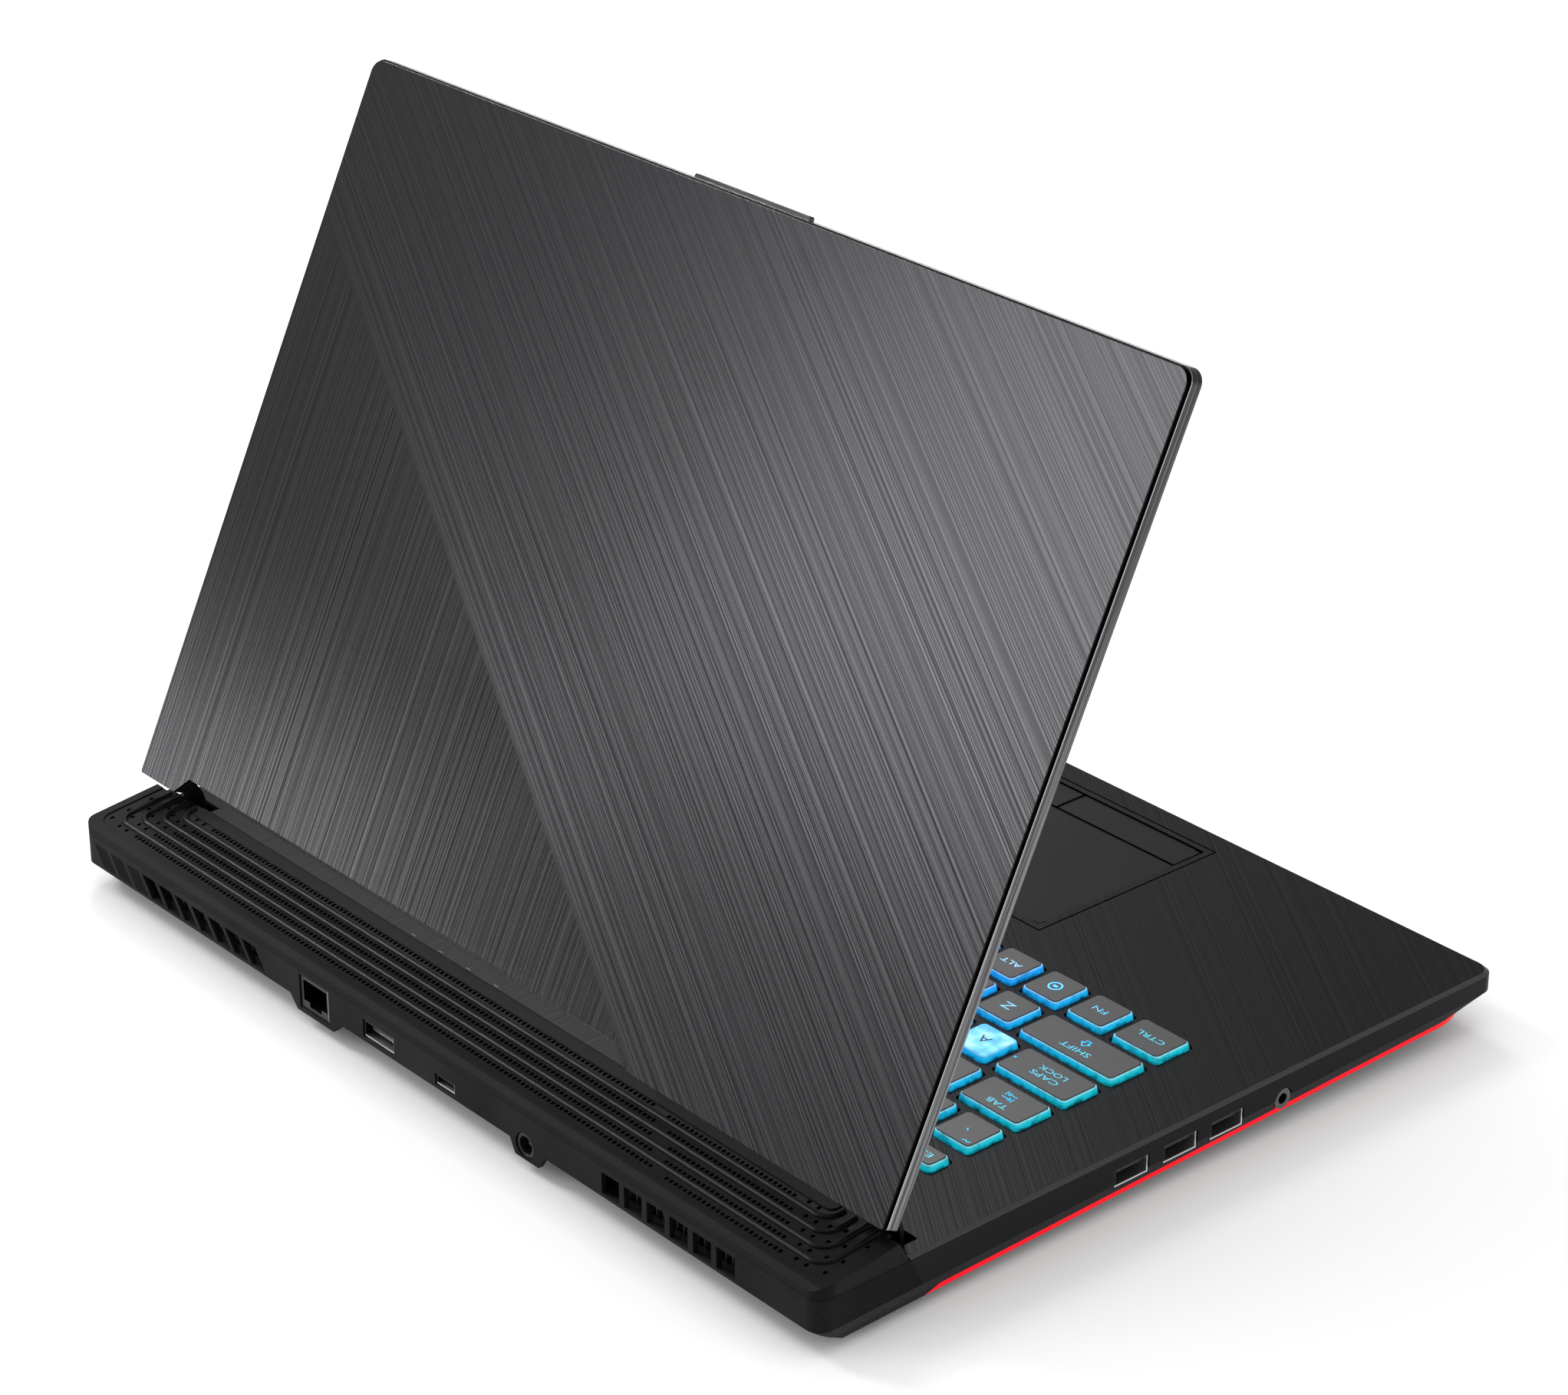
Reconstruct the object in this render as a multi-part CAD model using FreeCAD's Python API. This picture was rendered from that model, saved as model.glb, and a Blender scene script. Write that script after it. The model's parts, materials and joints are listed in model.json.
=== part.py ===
import FreeCAD, Part
import math
import os

# A 15.6-inch gaming laptop, lid partly open. Millimetres; +X is the user's right, -Y the user's side,
# +Z up. The origin is the middle of the footprint, on the table under the feet.

# Base shell
base_width = 360.0
base_depth = 273.0
base_corner = 5.0
deck_top = 19.9
deck_plate = 1.6
shell_wall = 1.8
deck_chamfer = 1.1
seam_height = 10.94          # parting line between deck and bottom cover, at the middle of the side
seam_tilt = 1.01             # degrees, the parting line rises to the front
bottom_level = 2.0           # underside of the bottom cover
floor_thick = 1.6
rear_seam_top_y = 103.8      # slanted joint between the deck's side wall and the rear panel
rear_seam_low_y = 98.7
rear_seam_foot = 0.4         # the panel reaches this far under the hood's end

# Bottom cover edge and light bar, measured down from the parting line
seam_groove = 0.45           # height and depth of the open line under the deck's walls
seam_groove_depth = 1.2
front_sweep = 22.0           # corner radius of the lower layers at the front
ledge_height = 3.7
ledge_inset_top = 0.4
ledge_inset_low = 1.2
bar_height = 1.6
bar_depth = 1.9
bar_inset = 1.3
bar_rear_y = 93.6
bar_end_slant = 3.0
tray_inset = 1.6
tray_drop = 8.0
tray_slope = 2.0             # inward run of the underside for each millimetre down
undercut_run = 12.5
undercut_wall = 3.6
foot_height = bottom_level
foot_corner = 3.0
front_foot = (115.0, -95.0, 40.0, 8.0)
rear_foot = (112.0, 116.0, 60.0, 9.0)
screw_places = [(160.0, -112.0), (-160.0, -112.0), (166.0, -62.0), (-166.0, -62.0),
                (166.0, 62.0), (-166.0, 62.0), (84.0, -119.4), (-84.0, -119.4)]
screw_shank = 1.0
screw_head = 2.4
screw_head_height = 0.9
screw_length = 9.0
screw_fit = 0.05
boss_radius = 2.8
board_post_radius = 2.5
board_posts = [(-150.0, -40.0), (-150.0, 40.0), (-80.0, -40.0), (-60.0, 110.0), (60.0, 110.0), (60.0, 8.0)]

# Rear hood
hood_seam = 19.0
hood_front_y = 105.8
hood_edge_top_y = 107.4
hood_edge_low_y = 104.3
hood_top = 25.8              # level of the hood's front edge, flush with the closed lid
hood_tilt = 6.4              # degrees, the top falls to the rear
hood_rear_wall = 2.2
hood_bevel = 2.0
hood_plate = 1.3
hood_sink = 0.4
hood_rim = 3.2
plateau_half = 155.5
plateau_depth = 4.4
rib_radius = 1.0
rib_first = 8.0              # first rib, behind the hood's front edge
rib_pitch = 4.75
rib_count = 4
rib_half_first = 157.6
rib_half_pitch = 4.7
rib_corner = 5.0
slot_pitch = 2.0
slot_width = 1.2
slot_depth = 1.5
slot_before_rib = 2.7
slot_half_first = 143.4
slot_half_pitch = 4.1
slot_break_first = -83.4     # the rows pause along a slanting line on the user's left
slot_break_pitch = -5.8
slot_break_half = 3.0
slot_jog = 0.8
slot_singles = 2
slot_single_pitch = 4.0
slot_turns = (1.2, 7.6, 16.4)   # slots round the corner, ahead of the row

# Raised strip with the status lights
strip_left = -60.5
strip_right = 151.0
strip_front_y = 99.4
strip_rear_y = 105.6
strip_wall = 1.2
light_first_x = 1.7
light_pitch = 13.8
light_count = 4
light_length = 2.2
light_width = 0.8
light_from_edge = 0.9
light_pipe_height = 3.0

# Hinges
hinge_y = 114.2
hinge_z = 21.8
rest_angle = 64.3            # lid opening in the rest pose
arm_inner = 162.5
arm_outer = 174.0
arm_outer_radius = 14.0
arm_thick = 1.4
arm_start = 169.5            # degrees about the hinge, lid closed
arm_end = 304.0
arm_web = 14.0
arm_web_width = 2.5
arm_slit = 0.6
arm_flange_y = 84.0
arm_flange_thick = 1.2
hinge_hub = 1.6
hinge_pin = 0.95
hinge_running_fit = 0.05
hinge_pin_start = 148.0
hinge_gap = 0.3
bracket_thick = 2.0
bracket_foot = 13.0
deck_cut_inner = 161.5
deck_cut_outer = 174.7
deck_cut_front = 95.9

# Lid, drawn closed
lid_bottom_y = 104.4
lid_length = 243.3
lid_width = 360.6
lid_corner = 4.5
lid_low_corner = 0.8
lid_thick = 5.2
lid_plate = 1.2              # height of the cover plate above the lid's frame
lid_plate_inset = 0.8
lid_frame_draft = 0.25
lid_wall = 1.5
lid_skin = 1.0
notch_right_low = 160.5
notch_right_top = 154.8
notch_left_low = -71.4
notch_left_top = -62.9
notch_depth = 6.2
lip_half = 25.5
lip_reach = 1.2
lip_thick = 2.0
lip_corner = 0.8
bezel_recess = 1.8
bezel_thick = 0.8
screen_width = 344.2
screen_height = 193.6
screen_top_margin = 10.0
screen_lap = 2.4
panel_thick = 1.5
bumper_radius = 2.5
bumper_gap = 0.1
bumper_x = 120.0
bumper_low_y = 84.0
lid_fit = 0.1

# Keyboard
key_pitch_x = 19.05
key_pitch_y = 18.75
key_left = -154.36
key_front = -35.1
key_top_gap = 4.7
key_flare = 0.5
key_top_rise = 2.1
key_height = 3.6
key_cap_corner = 1.5
key_slit = 0.45
function_row_front = 60.8
function_row_depth = 12.6
key_stem_x = 6.0
key_stem_y = 4.0
key_stem_drop = 3.2
stem_fit = 0.25
plate_below_deck = 3.7
plate_thick = 0.8
plate_margin = 2.4
plate_rim = 1.4

# Touchpad, its buttons and the power button
pad_left = -69.3
pad_right = 37.7
pad_rear = -51.3
pad_front = -110.6
pad_button_front = -124.0
pad_recess = 0.3
pad_gap = 0.25
pad_flange = 2.5
pad_thick = 1.2
pad_corner = 1.0
button_travel = 0.6
button_stem = 4.0
button_stem_drop = 2.6
power_x = 140.0
power_y = 86.0
power_width = 15.0
power_depth = 6.5
power_corner = 1.5
power_rise = 0.3
power_height = 2.4

# Sockets
usb_places = [18.7, -0.85, -19.9]
usb_level = 11.9
usb_width = 13.2
usb_height = 5.7
usb_length = 14.0
socket_wall = 0.5
usb_tongue = 1.9
usb_tongue_width = 11.0
tongue_setback = 1.5
socket_setback = 0.5
socket_slit = 0.25
audio_y = -43.5
audio_level = 10.9
audio_radius = 3.3
audio_bore = 1.75
audio_length = 12.0
audio_floor = 1.0
lan_x = 51.5
lan_level = 11.6
lan_width = 14.6
lan_height = 11.0
lan_length = 15.0
lan_wall = 1.2
lan_latch = 1.5
video_x = 18.3
video_level = 13.0
video_width = 15.0
video_height = 5.6
video_length = 11.0
video_tongue_width = 11.0
video_tongue = 1.2
small_x = -14.6
small_level = 11.6
small_width = 9.0
small_height = 3.3
small_length = 9.0
small_tongue_width = 6.6
small_tongue = 0.7
power_inlet_x = -52.5
power_inlet_level = 8.4
power_inlet_radius = 3.9
power_inlet_bore = 2.9
power_inlet_pin = 0.7
power_inlet_length = 12.0
power_inlet_floor = 1.5

# Rear panel
vent_count = 7
vent_pitch = 9.3
vent_bar = 2.2
vent_lean = 5.2
vent_low = 9.6
vent_high = 16.6
vent_right_start = 77.5
left_vent_count = 6
left_vent_pitch = 10.0
left_vent_start = -88.0
blank_count = 3
blank_groove = 0.6
blank_lines = 9
lan_tab = (34.9, 41.8, 60.6, 66.0, 4.4)
inlet_tab = (-44.7, -47.9, -58.8, -63.0, 3.9)

# Inside
board_level = 8.0
board_thick = 1.2
board_margin = 1.0
board_half = 70.0
board_front = -50.0
board_middle = -8.0
board_wing_rear = 52.0
board_corner = 1.0
fan_x = 106.0
fan_y = 88.0
fan_half = 32.0
fan_corner = 3.0
fan_low = 4.2
fan_high = 13.4
fan_wall = 1.0
fan_bore = 29.0
fan_inlet = 20.0
fan_cutoff = 2.0             # the tongue that parts the fan from its outlet
rotor_hub = 11.0
rotor_tip = 27.5
rotor_blades = 17
rotor_blade = 0.9
rotor_root = 10.5
rotor_sweep = 25.0
rotor_shell = 1.5
rotor_gap = 0.8
rotor_shaft = 1.5
rotor_fit = 0.05
bearing_wall = 1.5
bearing_height = 4.0
fin_left = 78.0
fin_right = 144.0
fin_front = 121.0
fin_rear = 130.5
fin_high = 14.6
fin_low = 7.6
fin_foot = 1.5
fin_sheet = 0.5
fin_pitch = 3.0
pipe_radius = 2.2
pipe_rest = 0.1
pipe_bend = 14.0
pipe_centre_y = 109.0
pipe_fin_y = 127.0
pipe_centre_half = 62.0
pipe_knee = 86.0
pipe_end = 4.0               # the pipe stops this far inside the stacks
spreader_half = 45.0
spreader_front = 92.0
spreader_rear = 113.0
spreader_thick = 2.0
saddle_half = 3.5
battery_half = 108.0
battery_front = -116.0
battery_rear = -54.0
battery_height = 6.8
battery_corner = 2.0
battery_cells = 4
battery_groove = 0.8
drive_left = 92.0
drive_front = -46.0
drive_size = (70.0, 100.0, 7.0)
drive_corner = 2.0
drive_rim = 12.0
drive_dent = 0.4
card_thick = 1.0
card_height = 2.2
chip_margin = 5.0
ssd_chips = 3
memory_chips = 4
wireless_chips = 1
ssd_place = (40.0, 4.0, 22.0, 80.0)
memory_places = [(-36.0, 8.0, 67.6, 30.0), (-36.0, 42.0, 67.6, 30.0)]
memory_height = 3.8
wireless_place = (-150.0, 14.0, 30.0, 22.0)
speaker_place = (138.0, -88.0, 34.0, 34.0)
speaker_height = 5.6
speaker_corner = 3.0
speaker_cone = 12.0
speaker_dish = 1.5
intake_slot = 2.4
intake_pitch = 5.6
intake_rows = 9

# Levels and lines that follow from the sizes above
past = 1.0                   # cutting shapes run this far past a face
far = 400.0
half_width = base_width / 2
half_depth = base_depth / 2
deck_under = deck_top - deck_plate
floor_top = bottom_level + floor_thick
board_top = board_level + board_thick
plate_top = deck_top - plate_below_deck
plate_low = plate_top - plate_thick
key_cap_top = deck_top + key_top_rise
key_cap_low = key_cap_top - key_height
lid_rear = lid_bottom_y
lid_front = lid_bottom_y - lid_length
lid_inner = hood_top - lid_thick
lid_cavity_top = hood_top - lid_skin
bezel_low = lid_inner + bezel_recess
bezel_high = bezel_low + bezel_thick
screen_front = lid_front + screen_top_margin
screen_rear = screen_front + screen_height
groove_wall = bar_inset + bar_depth + shell_wall


def vec(x, y, z):
    return FreeCAD.Vector(x, y, z)


def box(x0, x1, y0, y1, z0, z1):
    return Part.makeBox(x1 - x0, y1 - y0, z1 - z0, vec(x0, y0, z0))


def block(x, y, width, depth, z0, z1):
    # A box centred on (x, y).
    return box(x - width / 2, x + width / 2, y - depth / 2, y + depth / 2, z0, z1)


def mirrored(shape):
    return shape.mirror(vec(0, 0, 0), vec(1, 0, 0))


def outline(corners, z=0.0):
    # A closed wire through (x, y, radius) corners, rounded where the radius isn't zero.
    turns = []
    for i, (x, y, radius) in enumerate(corners):
        here = vec(x, y, z)
        before = vec(corners[i - 1][0], corners[i - 1][1], z) - here
        after = vec(corners[(i + 1) % len(corners)][0], corners[(i + 1) % len(corners)][1], z) - here
        if radius == 0:
            turns.append((here, None, here))
            continue
        back = before * (1.0 / before.Length)
        ahead = after * (1.0 / after.Length)
        half = back.getAngle(ahead) / 2
        reach = radius / math.tan(half)
        inward = back + ahead
        middle = here + inward * ((radius / math.sin(half) - radius) / inward.Length)
        turns.append((here + back * reach, middle, here + ahead * reach))
    edges = []
    for i, (start, middle, stop) in enumerate(turns):
        if middle is not None:
            edges.append(Part.Arc(start, middle, stop).toShape())
        following = turns[(i + 1) % len(turns)][0]
        if stop.distanceToPoint(following) > 1e-6:
            edges.append(Part.makeLine(stop, following))
    return Part.Wire(edges)


def rectangle(x0, x1, y0, y1, radius, z=0.0):
    return outline([(x0, y0, radius), (x1, y0, radius), (x1, y1, radius), (x0, y1, radius)], z)


def pad(x, y, width, depth, radius, z0, z1):
    # A round-cornered slab centred on (x, y).
    wire = rectangle(x - width / 2, x + width / 2, y - depth / 2, y + depth / 2, radius, z0)
    return slab(wire, z1 - z0)


def slab(wire, thick, holes=()):
    face = Part.makeFace(Part.makeCompound([wire] + list(holes)), "Part::FaceMakerBullseye")
    return face.extrude(vec(0, 0, thick))


def side_prism(points, x0, x1):
    wire = Part.makePolygon([vec(x0, y, z) for y, z in points + points[:1]])
    return Part.Face(wire).extrude(vec(x1 - x0, 0, 0))


def rear_prism(points, y0, y1):
    wire = Part.makePolygon([vec(x, y0, z) for x, z in points + points[:1]])
    return Part.Face(wire).extrude(vec(0, y1 - y0, 0))


def upright(radius, x, y, z0, z1):
    return Part.makeCylinder(radius, z1 - z0, vec(x, y, z0), vec(0, 0, 1))


def crosswise(radius, x0, x1, y, z):
    return Part.makeCylinder(radius, x1 - x0, vec(x0, y, z), vec(1, 0, 0))


def lengthwise(radius, x, y0, y1, z):
    return Part.makeCylinder(radius, y1 - y0, vec(x, y0, z), vec(0, 1, 0))


def fused(shapes):
    return shapes[0].multiFuse(shapes[1:]).removeSplitter() if len(shapes) > 1 else shapes[0]


def save(name, shape):
    solids = shape.Solids
    result = solids[0] if len(solids) == 1 else Part.makeCompound(solids)
    result.exportStep("parts/" + name + ".step")
    print(name, len(solids), "solids", round(shape.Volume), "mm3")


def base_wire(inset, z, front_corner=base_corner):
    half_x = half_width - inset
    half_y = half_depth - inset
    return outline([(-half_x, -half_y, front_corner), (half_x, -half_y, front_corner),
                    (half_x, half_y, base_corner), (-half_x, half_y, base_corner)], z)


def base_layer(inset_low, z_low, inset_high, z_high):
    return Part.makeLoft([base_wire(inset_low, z_low), base_wire(inset_high, z_high)], True, True)


def low_layer(inset_low, z_low, inset_high, z_high, corner_high):
    # Below the parting line the front corners are swept back.
    return Part.makeLoft([base_wire(inset_low, z_low, front_sweep), base_wire(inset_high, z_high, corner_high)],
                         True, True)


def on_seam(shape):
    # From a frame whose zero plane is the parting line into the laptop's frame.
    tilted = shape.copy()
    tilted.rotate(vec(0, 0, 0), vec(1, 0, 0), -seam_tilt)
    tilted.translate(vec(0, 0, seam_height))
    return tilted


def seam_at(y):
    return seam_height - y * math.tan(math.radians(seam_tilt))


def on_hood(shape):
    # From a frame whose zero plane is the hood's top, measured back from its front edge.
    tilted = shape.copy()
    tilted.rotate(vec(0, 0, 0), vec(1, 0, 0), -hood_tilt)
    tilted.translate(vec(0, hood_front_y, hood_top))
    return tilted


def hood_level(y):
    return hood_top - (y - hood_front_y) * math.tan(math.radians(hood_tilt))


def opened(shape):
    # Lid pieces are drawn closed and turned about the hinge to the rest pose.
    turned = shape.copy()
    turned.rotate(vec(0, hinge_y, hinge_z), vec(1, 0, 0), -rest_angle)
    return turned


def usb_shell(y, grow):
    half = usb_width / 2 + grow
    rise = usb_height / 2 + grow
    start = socket_setback - half_width
    end = start + usb_length + grow
    return box(start - grow * far, end, y - half, y + half, usb_level - rise, usb_level + rise)


def audio_body(grow):
    start = socket_setback - half_width
    end = start + audio_length + grow
    return crosswise(audio_radius + grow, start - grow * far, end, audio_y, audio_level)


def rear_block(x, level, width, height, length, grow):
    rear = half_depth - socket_setback
    half = width / 2 + grow
    rise = height / 2 + grow
    return box(x - half, x + half, rear - length - grow, rear + grow * far, level - rise, level + rise)


def inlet_body(grow):
    rear = half_depth - socket_setback + grow * far
    start = half_depth - socket_setback - power_inlet_length
    return lengthwise(power_inlet_radius + grow, power_inlet_x, start - grow, rear, power_inlet_level)


def side_sockets(grow):
    return [usb_shell(y, grow) for y in usb_places] + [audio_body(grow)]


def rear_sockets(grow):
    return [rear_block(lan_x, lan_level, lan_width, lan_height, lan_length, grow),
            rear_block(video_x, video_level, video_width, video_height, video_length, grow),
            rear_block(small_x, small_level, small_width, small_height, small_length, grow),
            inlet_body(grow)]


def tab_prism(tab, grow):
    near, low_near, low_far, end, low = tab
    sign = 1 if end > near else -1
    root = seam_at(half_depth) + shell_wall
    points = [(near - sign * grow, root), (low_near - sign * grow, low - grow),
              (low_far + sign * grow, low - grow), (end + sign * grow, root)]
    return rear_prism(points, half_depth - shell_wall - grow, half_depth + grow * far)


def light_bar():
    low = -ledge_height - bar_height
    groove = bar_inset + bar_depth
    outer = low_layer(bar_inset, low, bar_inset, -ledge_height, front_sweep)
    inner = low_layer(groove, low, groove, -ledge_height, front_sweep)
    slant = side_prism([(bar_rear_y - bar_end_slant, -ledge_height), (bar_rear_y + bar_end_slant, low),
                        (far, low), (far, -ledge_height)], -far, far)
    return on_seam(outer.cut(inner).cut(slant)).cut(audio_body(socket_slit))


def rear_undercut(shift):
    # The underside sweeps up to the rear panel's lower edge.
    edge = half_depth - shift
    top = seam_at(half_depth)
    return side_prism([(edge - undercut_run, bottom_level), (edge, top), (far, top), (far, -far),
                       (edge - undercut_run, -far)], -far, far)


def bottom_cover():
    groove = bar_inset + bar_depth
    bar_low = -ledge_height - bar_height
    tray_low = bar_low - tray_drop
    outer = fused([base_layer(seam_groove_depth, -seam_groove, seam_groove_depth, 0),
                   low_layer(ledge_inset_low, -ledge_height, ledge_inset_top, -seam_groove, base_corner),
                   low_layer(groove, bar_low, groove, -ledge_height, front_sweep),
                   low_layer(tray_inset + tray_drop * tray_slope, tray_low, tray_inset, bar_low, front_sweep)])
    low_wall = groove_wall + tray_drop * tray_slope
    hollow = fused([low_layer(groove_wall, bar_low, groove_wall, past, front_sweep),
                    low_layer(low_wall, tray_low, groove_wall, bar_low, front_sweep)])
    hollow = on_seam(hollow).cut(box(-far, far, -far, far, -far, floor_top)).cut(rear_undercut(undercut_wall))
    shape = on_seam(outer).cut(box(-far, far, -far, far, -far, bottom_level)).cut(hollow)
    # Behind the light bar's ends the groove is filled, and the rear stays plain.
    filler = low_layer(bar_inset, bar_low, bar_inset, -ledge_height, front_sweep).cut(
        low_layer(groove, bar_low, groove, -ledge_height, front_sweep))
    ahead = side_prism([(bar_rear_y - bar_end_slant + lid_fit, -ledge_height),
                        (bar_rear_y + bar_end_slant + lid_fit, bar_low),
                        (-far, bar_low), (-far, -ledge_height)], -far, far)
    shape = shape.fuse(on_seam(filler.cut(ahead)))
    shape = shape.cut(rear_undercut(0))
    cuts = side_sockets(socket_slit) + rear_sockets(socket_slit)
    cuts += [tab_prism(lan_tab, socket_slit), tab_prism(inlet_tab, socket_slit)]
    for x, y in screw_places:
        seat = bottom_level + screw_head_height
        cuts.append(upright(screw_head + screw_fit, x, y, bottom_level - past, seat))
        cuts.append(upright(screw_shank + screw_fit, x, y, bottom_level, floor_top + past))
    for side in (-1, 1):
        for i in range(intake_rows):
            y = fan_y + (i - (intake_rows - 1) / 2) * intake_pitch
            reach = math.sqrt(fan_bore ** 2 - (y - fan_y) ** 2)
            cuts.append(block(side * fan_x, y, 2 * reach, intake_slot, bottom_level - past, floor_top + past))
    shape = shape.cut(Part.makeCompound(cuts))
    posts = [upright(board_post_radius, x, y, floor_top, board_level) for x, y in board_posts]
    return fused([shape] + posts)


def rubber_feet():
    feet = []
    for x, y, length, width in (front_foot, rear_foot):
        for side in (-1, 1):
            feet.append(pad(side * x, y, length, width, foot_corner, 0, foot_height))
    return Part.makeCompound(feet)


def bottom_screws():
    screws = []
    for x, y in screw_places:
        head = upright(screw_head, x, y, bottom_level, bottom_level + screw_head_height)
        shank = upright(screw_shank, x, y, bottom_level, bottom_level + screw_length)
        drive = slab(hexagon(x, y, screw_head / 2, bottom_level), screw_head_height / 2)
        screws.append(head.fuse(shank).cut(drive))
    return Part.makeCompound(screws)


def hexagon(x, y, radius, z):
    points = [vec(x + radius * math.cos(math.radians(60 * i)), y + radius * math.sin(math.radians(60 * i)), z)
              for i in range(6)]
    return Part.makePolygon(points + points[:1])


def key_rows():
    # Rows from the front edge back: (name, width in key units), from the user's left.
    arrows = [("left", 1), ("down", 1), ("right", 1)]
    front = [("ctrl", 1.21), ("fn", 1), ("system", 1), ("alt", 1), ("space", 6), ("alt_right", 1.395),
             ("ctrl_right", 1.395)] + arrows
    shift = [("shift", 2.25), ("z", 1)] + [("lower", 1)] * 9 + [("shift_right", 1.75), ("up", 1), ("nav", 1)]
    home = [("caps_lock", 1.75), ("a", 1)] + [("home", 1)] * 10 + [("enter", 2.25), ("nav", 1)]
    upper = [("tab", 1.5)] + [("upper", 1)] * 12 + [("slash", 1.5), ("nav", 1)]
    number = [("tilde", 1)] + [("digit", 1)] * 12 + [("backspace", 2), ("nav", 1)]
    function = [("escape", 1)] + [("function", 1)] * 15
    return [front, shift, home, upper, number, function]


def key_cells():
    # One (row, name, left, right, front, rear) cell for each key.
    cells = []
    for row, keys in enumerate(key_rows()):
        top_row = row == len(key_rows()) - 1
        front = function_row_front if top_row else key_front + row * key_pitch_y
        depth = function_row_depth if top_row else key_pitch_y
        left = key_left
        for name, units in keys:
            right = left + units * key_pitch_x
            cells.append((row, name, left, right, front, front + depth))
            left = right
    return cells


def key_wire(cell, grow, z):
    row, name, left, right, front, rear = cell
    inset = key_top_gap / 2 - grow
    return rectangle(left + inset, right - inset, front + inset, rear - inset, key_cap_corner, z)


def key_stem(cell, grow, low, high):
    row, name, left, right, front, rear = cell
    x = (left + right) / 2
    y = (front + rear) / 2
    return box(x - key_stem_x / 2 - grow, x + key_stem_x / 2 + grow,
               y - key_stem_y / 2 - grow, y + key_stem_y / 2 + grow, low, high)


def key_cap(cell):
    cap = Part.makeLoft([key_wire(cell, key_flare, key_cap_low), key_wire(cell, 0, key_cap_top)], True, True)
    return cap.fuse(key_stem(cell, 0, key_cap_low - key_stem_drop, key_cap_low)).removeSplitter()


def key_nodes():
    single = ("ctrl", "fn", "system", "alt", "space", "shift", "z", "caps_lock", "a", "tab", "tilde",
              "escape")
    groups = ("bottom_right_keys", "lower_letter_keys", "home_letter_keys", "upper_letter_keys",
              "number_keys", "function_keys")
    nodes = {}
    for cell in key_cells():
        node = "key_" + cell[1] if cell[1] in single else groups[cell[0]]
        nodes.setdefault(node, []).append(key_cap(cell))
    return {node: Part.makeCompound(caps) for node, caps in nodes.items()}


def keyboard_bounds():
    right = key_left + sum(units for name, units in key_rows()[0]) * key_pitch_x
    return key_left, right, key_front, function_row_front + function_row_depth


def keyboard_plate():
    left, right, front, rear = keyboard_bounds()
    x = (left + right) / 2
    y = (front + rear) / 2
    wide = right - left + 2 * plate_margin
    deep = rear - front + 2 * plate_margin
    tray = pad(x, y, wide, deep, plate_margin, plate_low, deck_under)
    well = pad(x, y, wide - 2 * plate_rim, deep - 2 * plate_rim, plate_margin - plate_rim, plate_top, deck_top)
    holes = [key_stem(cell, stem_fit, plate_low - past, plate_top + past) for cell in key_cells()]
    return tray.cut(well).cut(Part.makeCompound(holes))


def deck_holes(z):
    holes = [key_wire(cell, key_flare + key_slit, z) for cell in key_cells()]
    holes.append(rectangle(pad_left, pad_right, pad_button_front, pad_rear, pad_corner, z))
    half_x = power_width / 2 + pad_gap
    half_y = power_depth / 2 + pad_gap
    holes.append(rectangle(power_x - half_x, power_x + half_x, power_y - half_y, power_y + half_y,
                           power_corner, z))
    return holes


def palm_rest():
    body = fused([base_layer(0, -deck_top, 0, deck_top - deck_chamfer),
                  base_layer(0, deck_top - deck_chamfer, deck_chamfer, deck_top)])
    inside = base_layer(shell_wall, -deck_top, shell_wall, deck_top + past)
    keep = side_prism([(-far, seam_at(-far)), (rear_seam_low_y, seam_at(rear_seam_low_y)),
                       (rear_seam_top_y, deck_top), (rear_seam_top_y, far), (-far, far)], -far, far)
    walls = body.cut(inside).common(keep)
    inner = half_width - shell_wall
    front = shell_wall - half_depth
    seam_run = (rear_seam_top_y - rear_seam_low_y) / (deck_top - seam_at(rear_seam_low_y))
    side_rear = rear_seam_top_y - seam_run * deck_plate
    right = [(inner, front, base_corner), (inner, side_rear, 0), (deck_cut_outer, side_rear, 0),
             (deck_cut_outer, deck_cut_front, 0), (deck_cut_inner, deck_cut_front, 0),
             (deck_cut_inner, strip_rear_y, 0)]
    left = [(-x, y, radius) for x, y, radius in reversed(right)]
    plate = slab(outline(right + left, deck_under), deck_plate, deck_holes(deck_under))
    shape = fused([walls, plate])
    shape = shape.cut(Part.makeCompound(side_sockets(socket_slit)))
    bosses = []
    for x, y in screw_places:
        boss = upright(boss_radius, x, y, floor_top, deck_under)
        thread = upright(screw_shank + screw_fit, x, y, floor_top - past, bottom_level + screw_length + past)
        bosses.append(boss.cut(thread))
    return fused([shape] + bosses)


def indicator_strip():
    shell = box(strip_left, strip_right, strip_front_y, strip_rear_y, deck_top, hood_top)
    hollow = box(strip_left - past, strip_right + past, strip_front_y + strip_wall, strip_rear_y + past,
                 deck_top - past, hood_top - strip_wall)
    return shell.cut(hollow).cut(Part.makeCompound([light_slot(i, lid_fit) for i in range(light_count)]))


def light_slot(index, grow):
    x = light_first_x + index * light_pitch
    y = strip_rear_y - light_from_edge
    return box(x - light_length / 2 - grow, x + light_length / 2 + grow, y - light_width / 2 - grow,
               y + light_width / 2 + grow, hood_top - light_pipe_height, hood_top)


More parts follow.
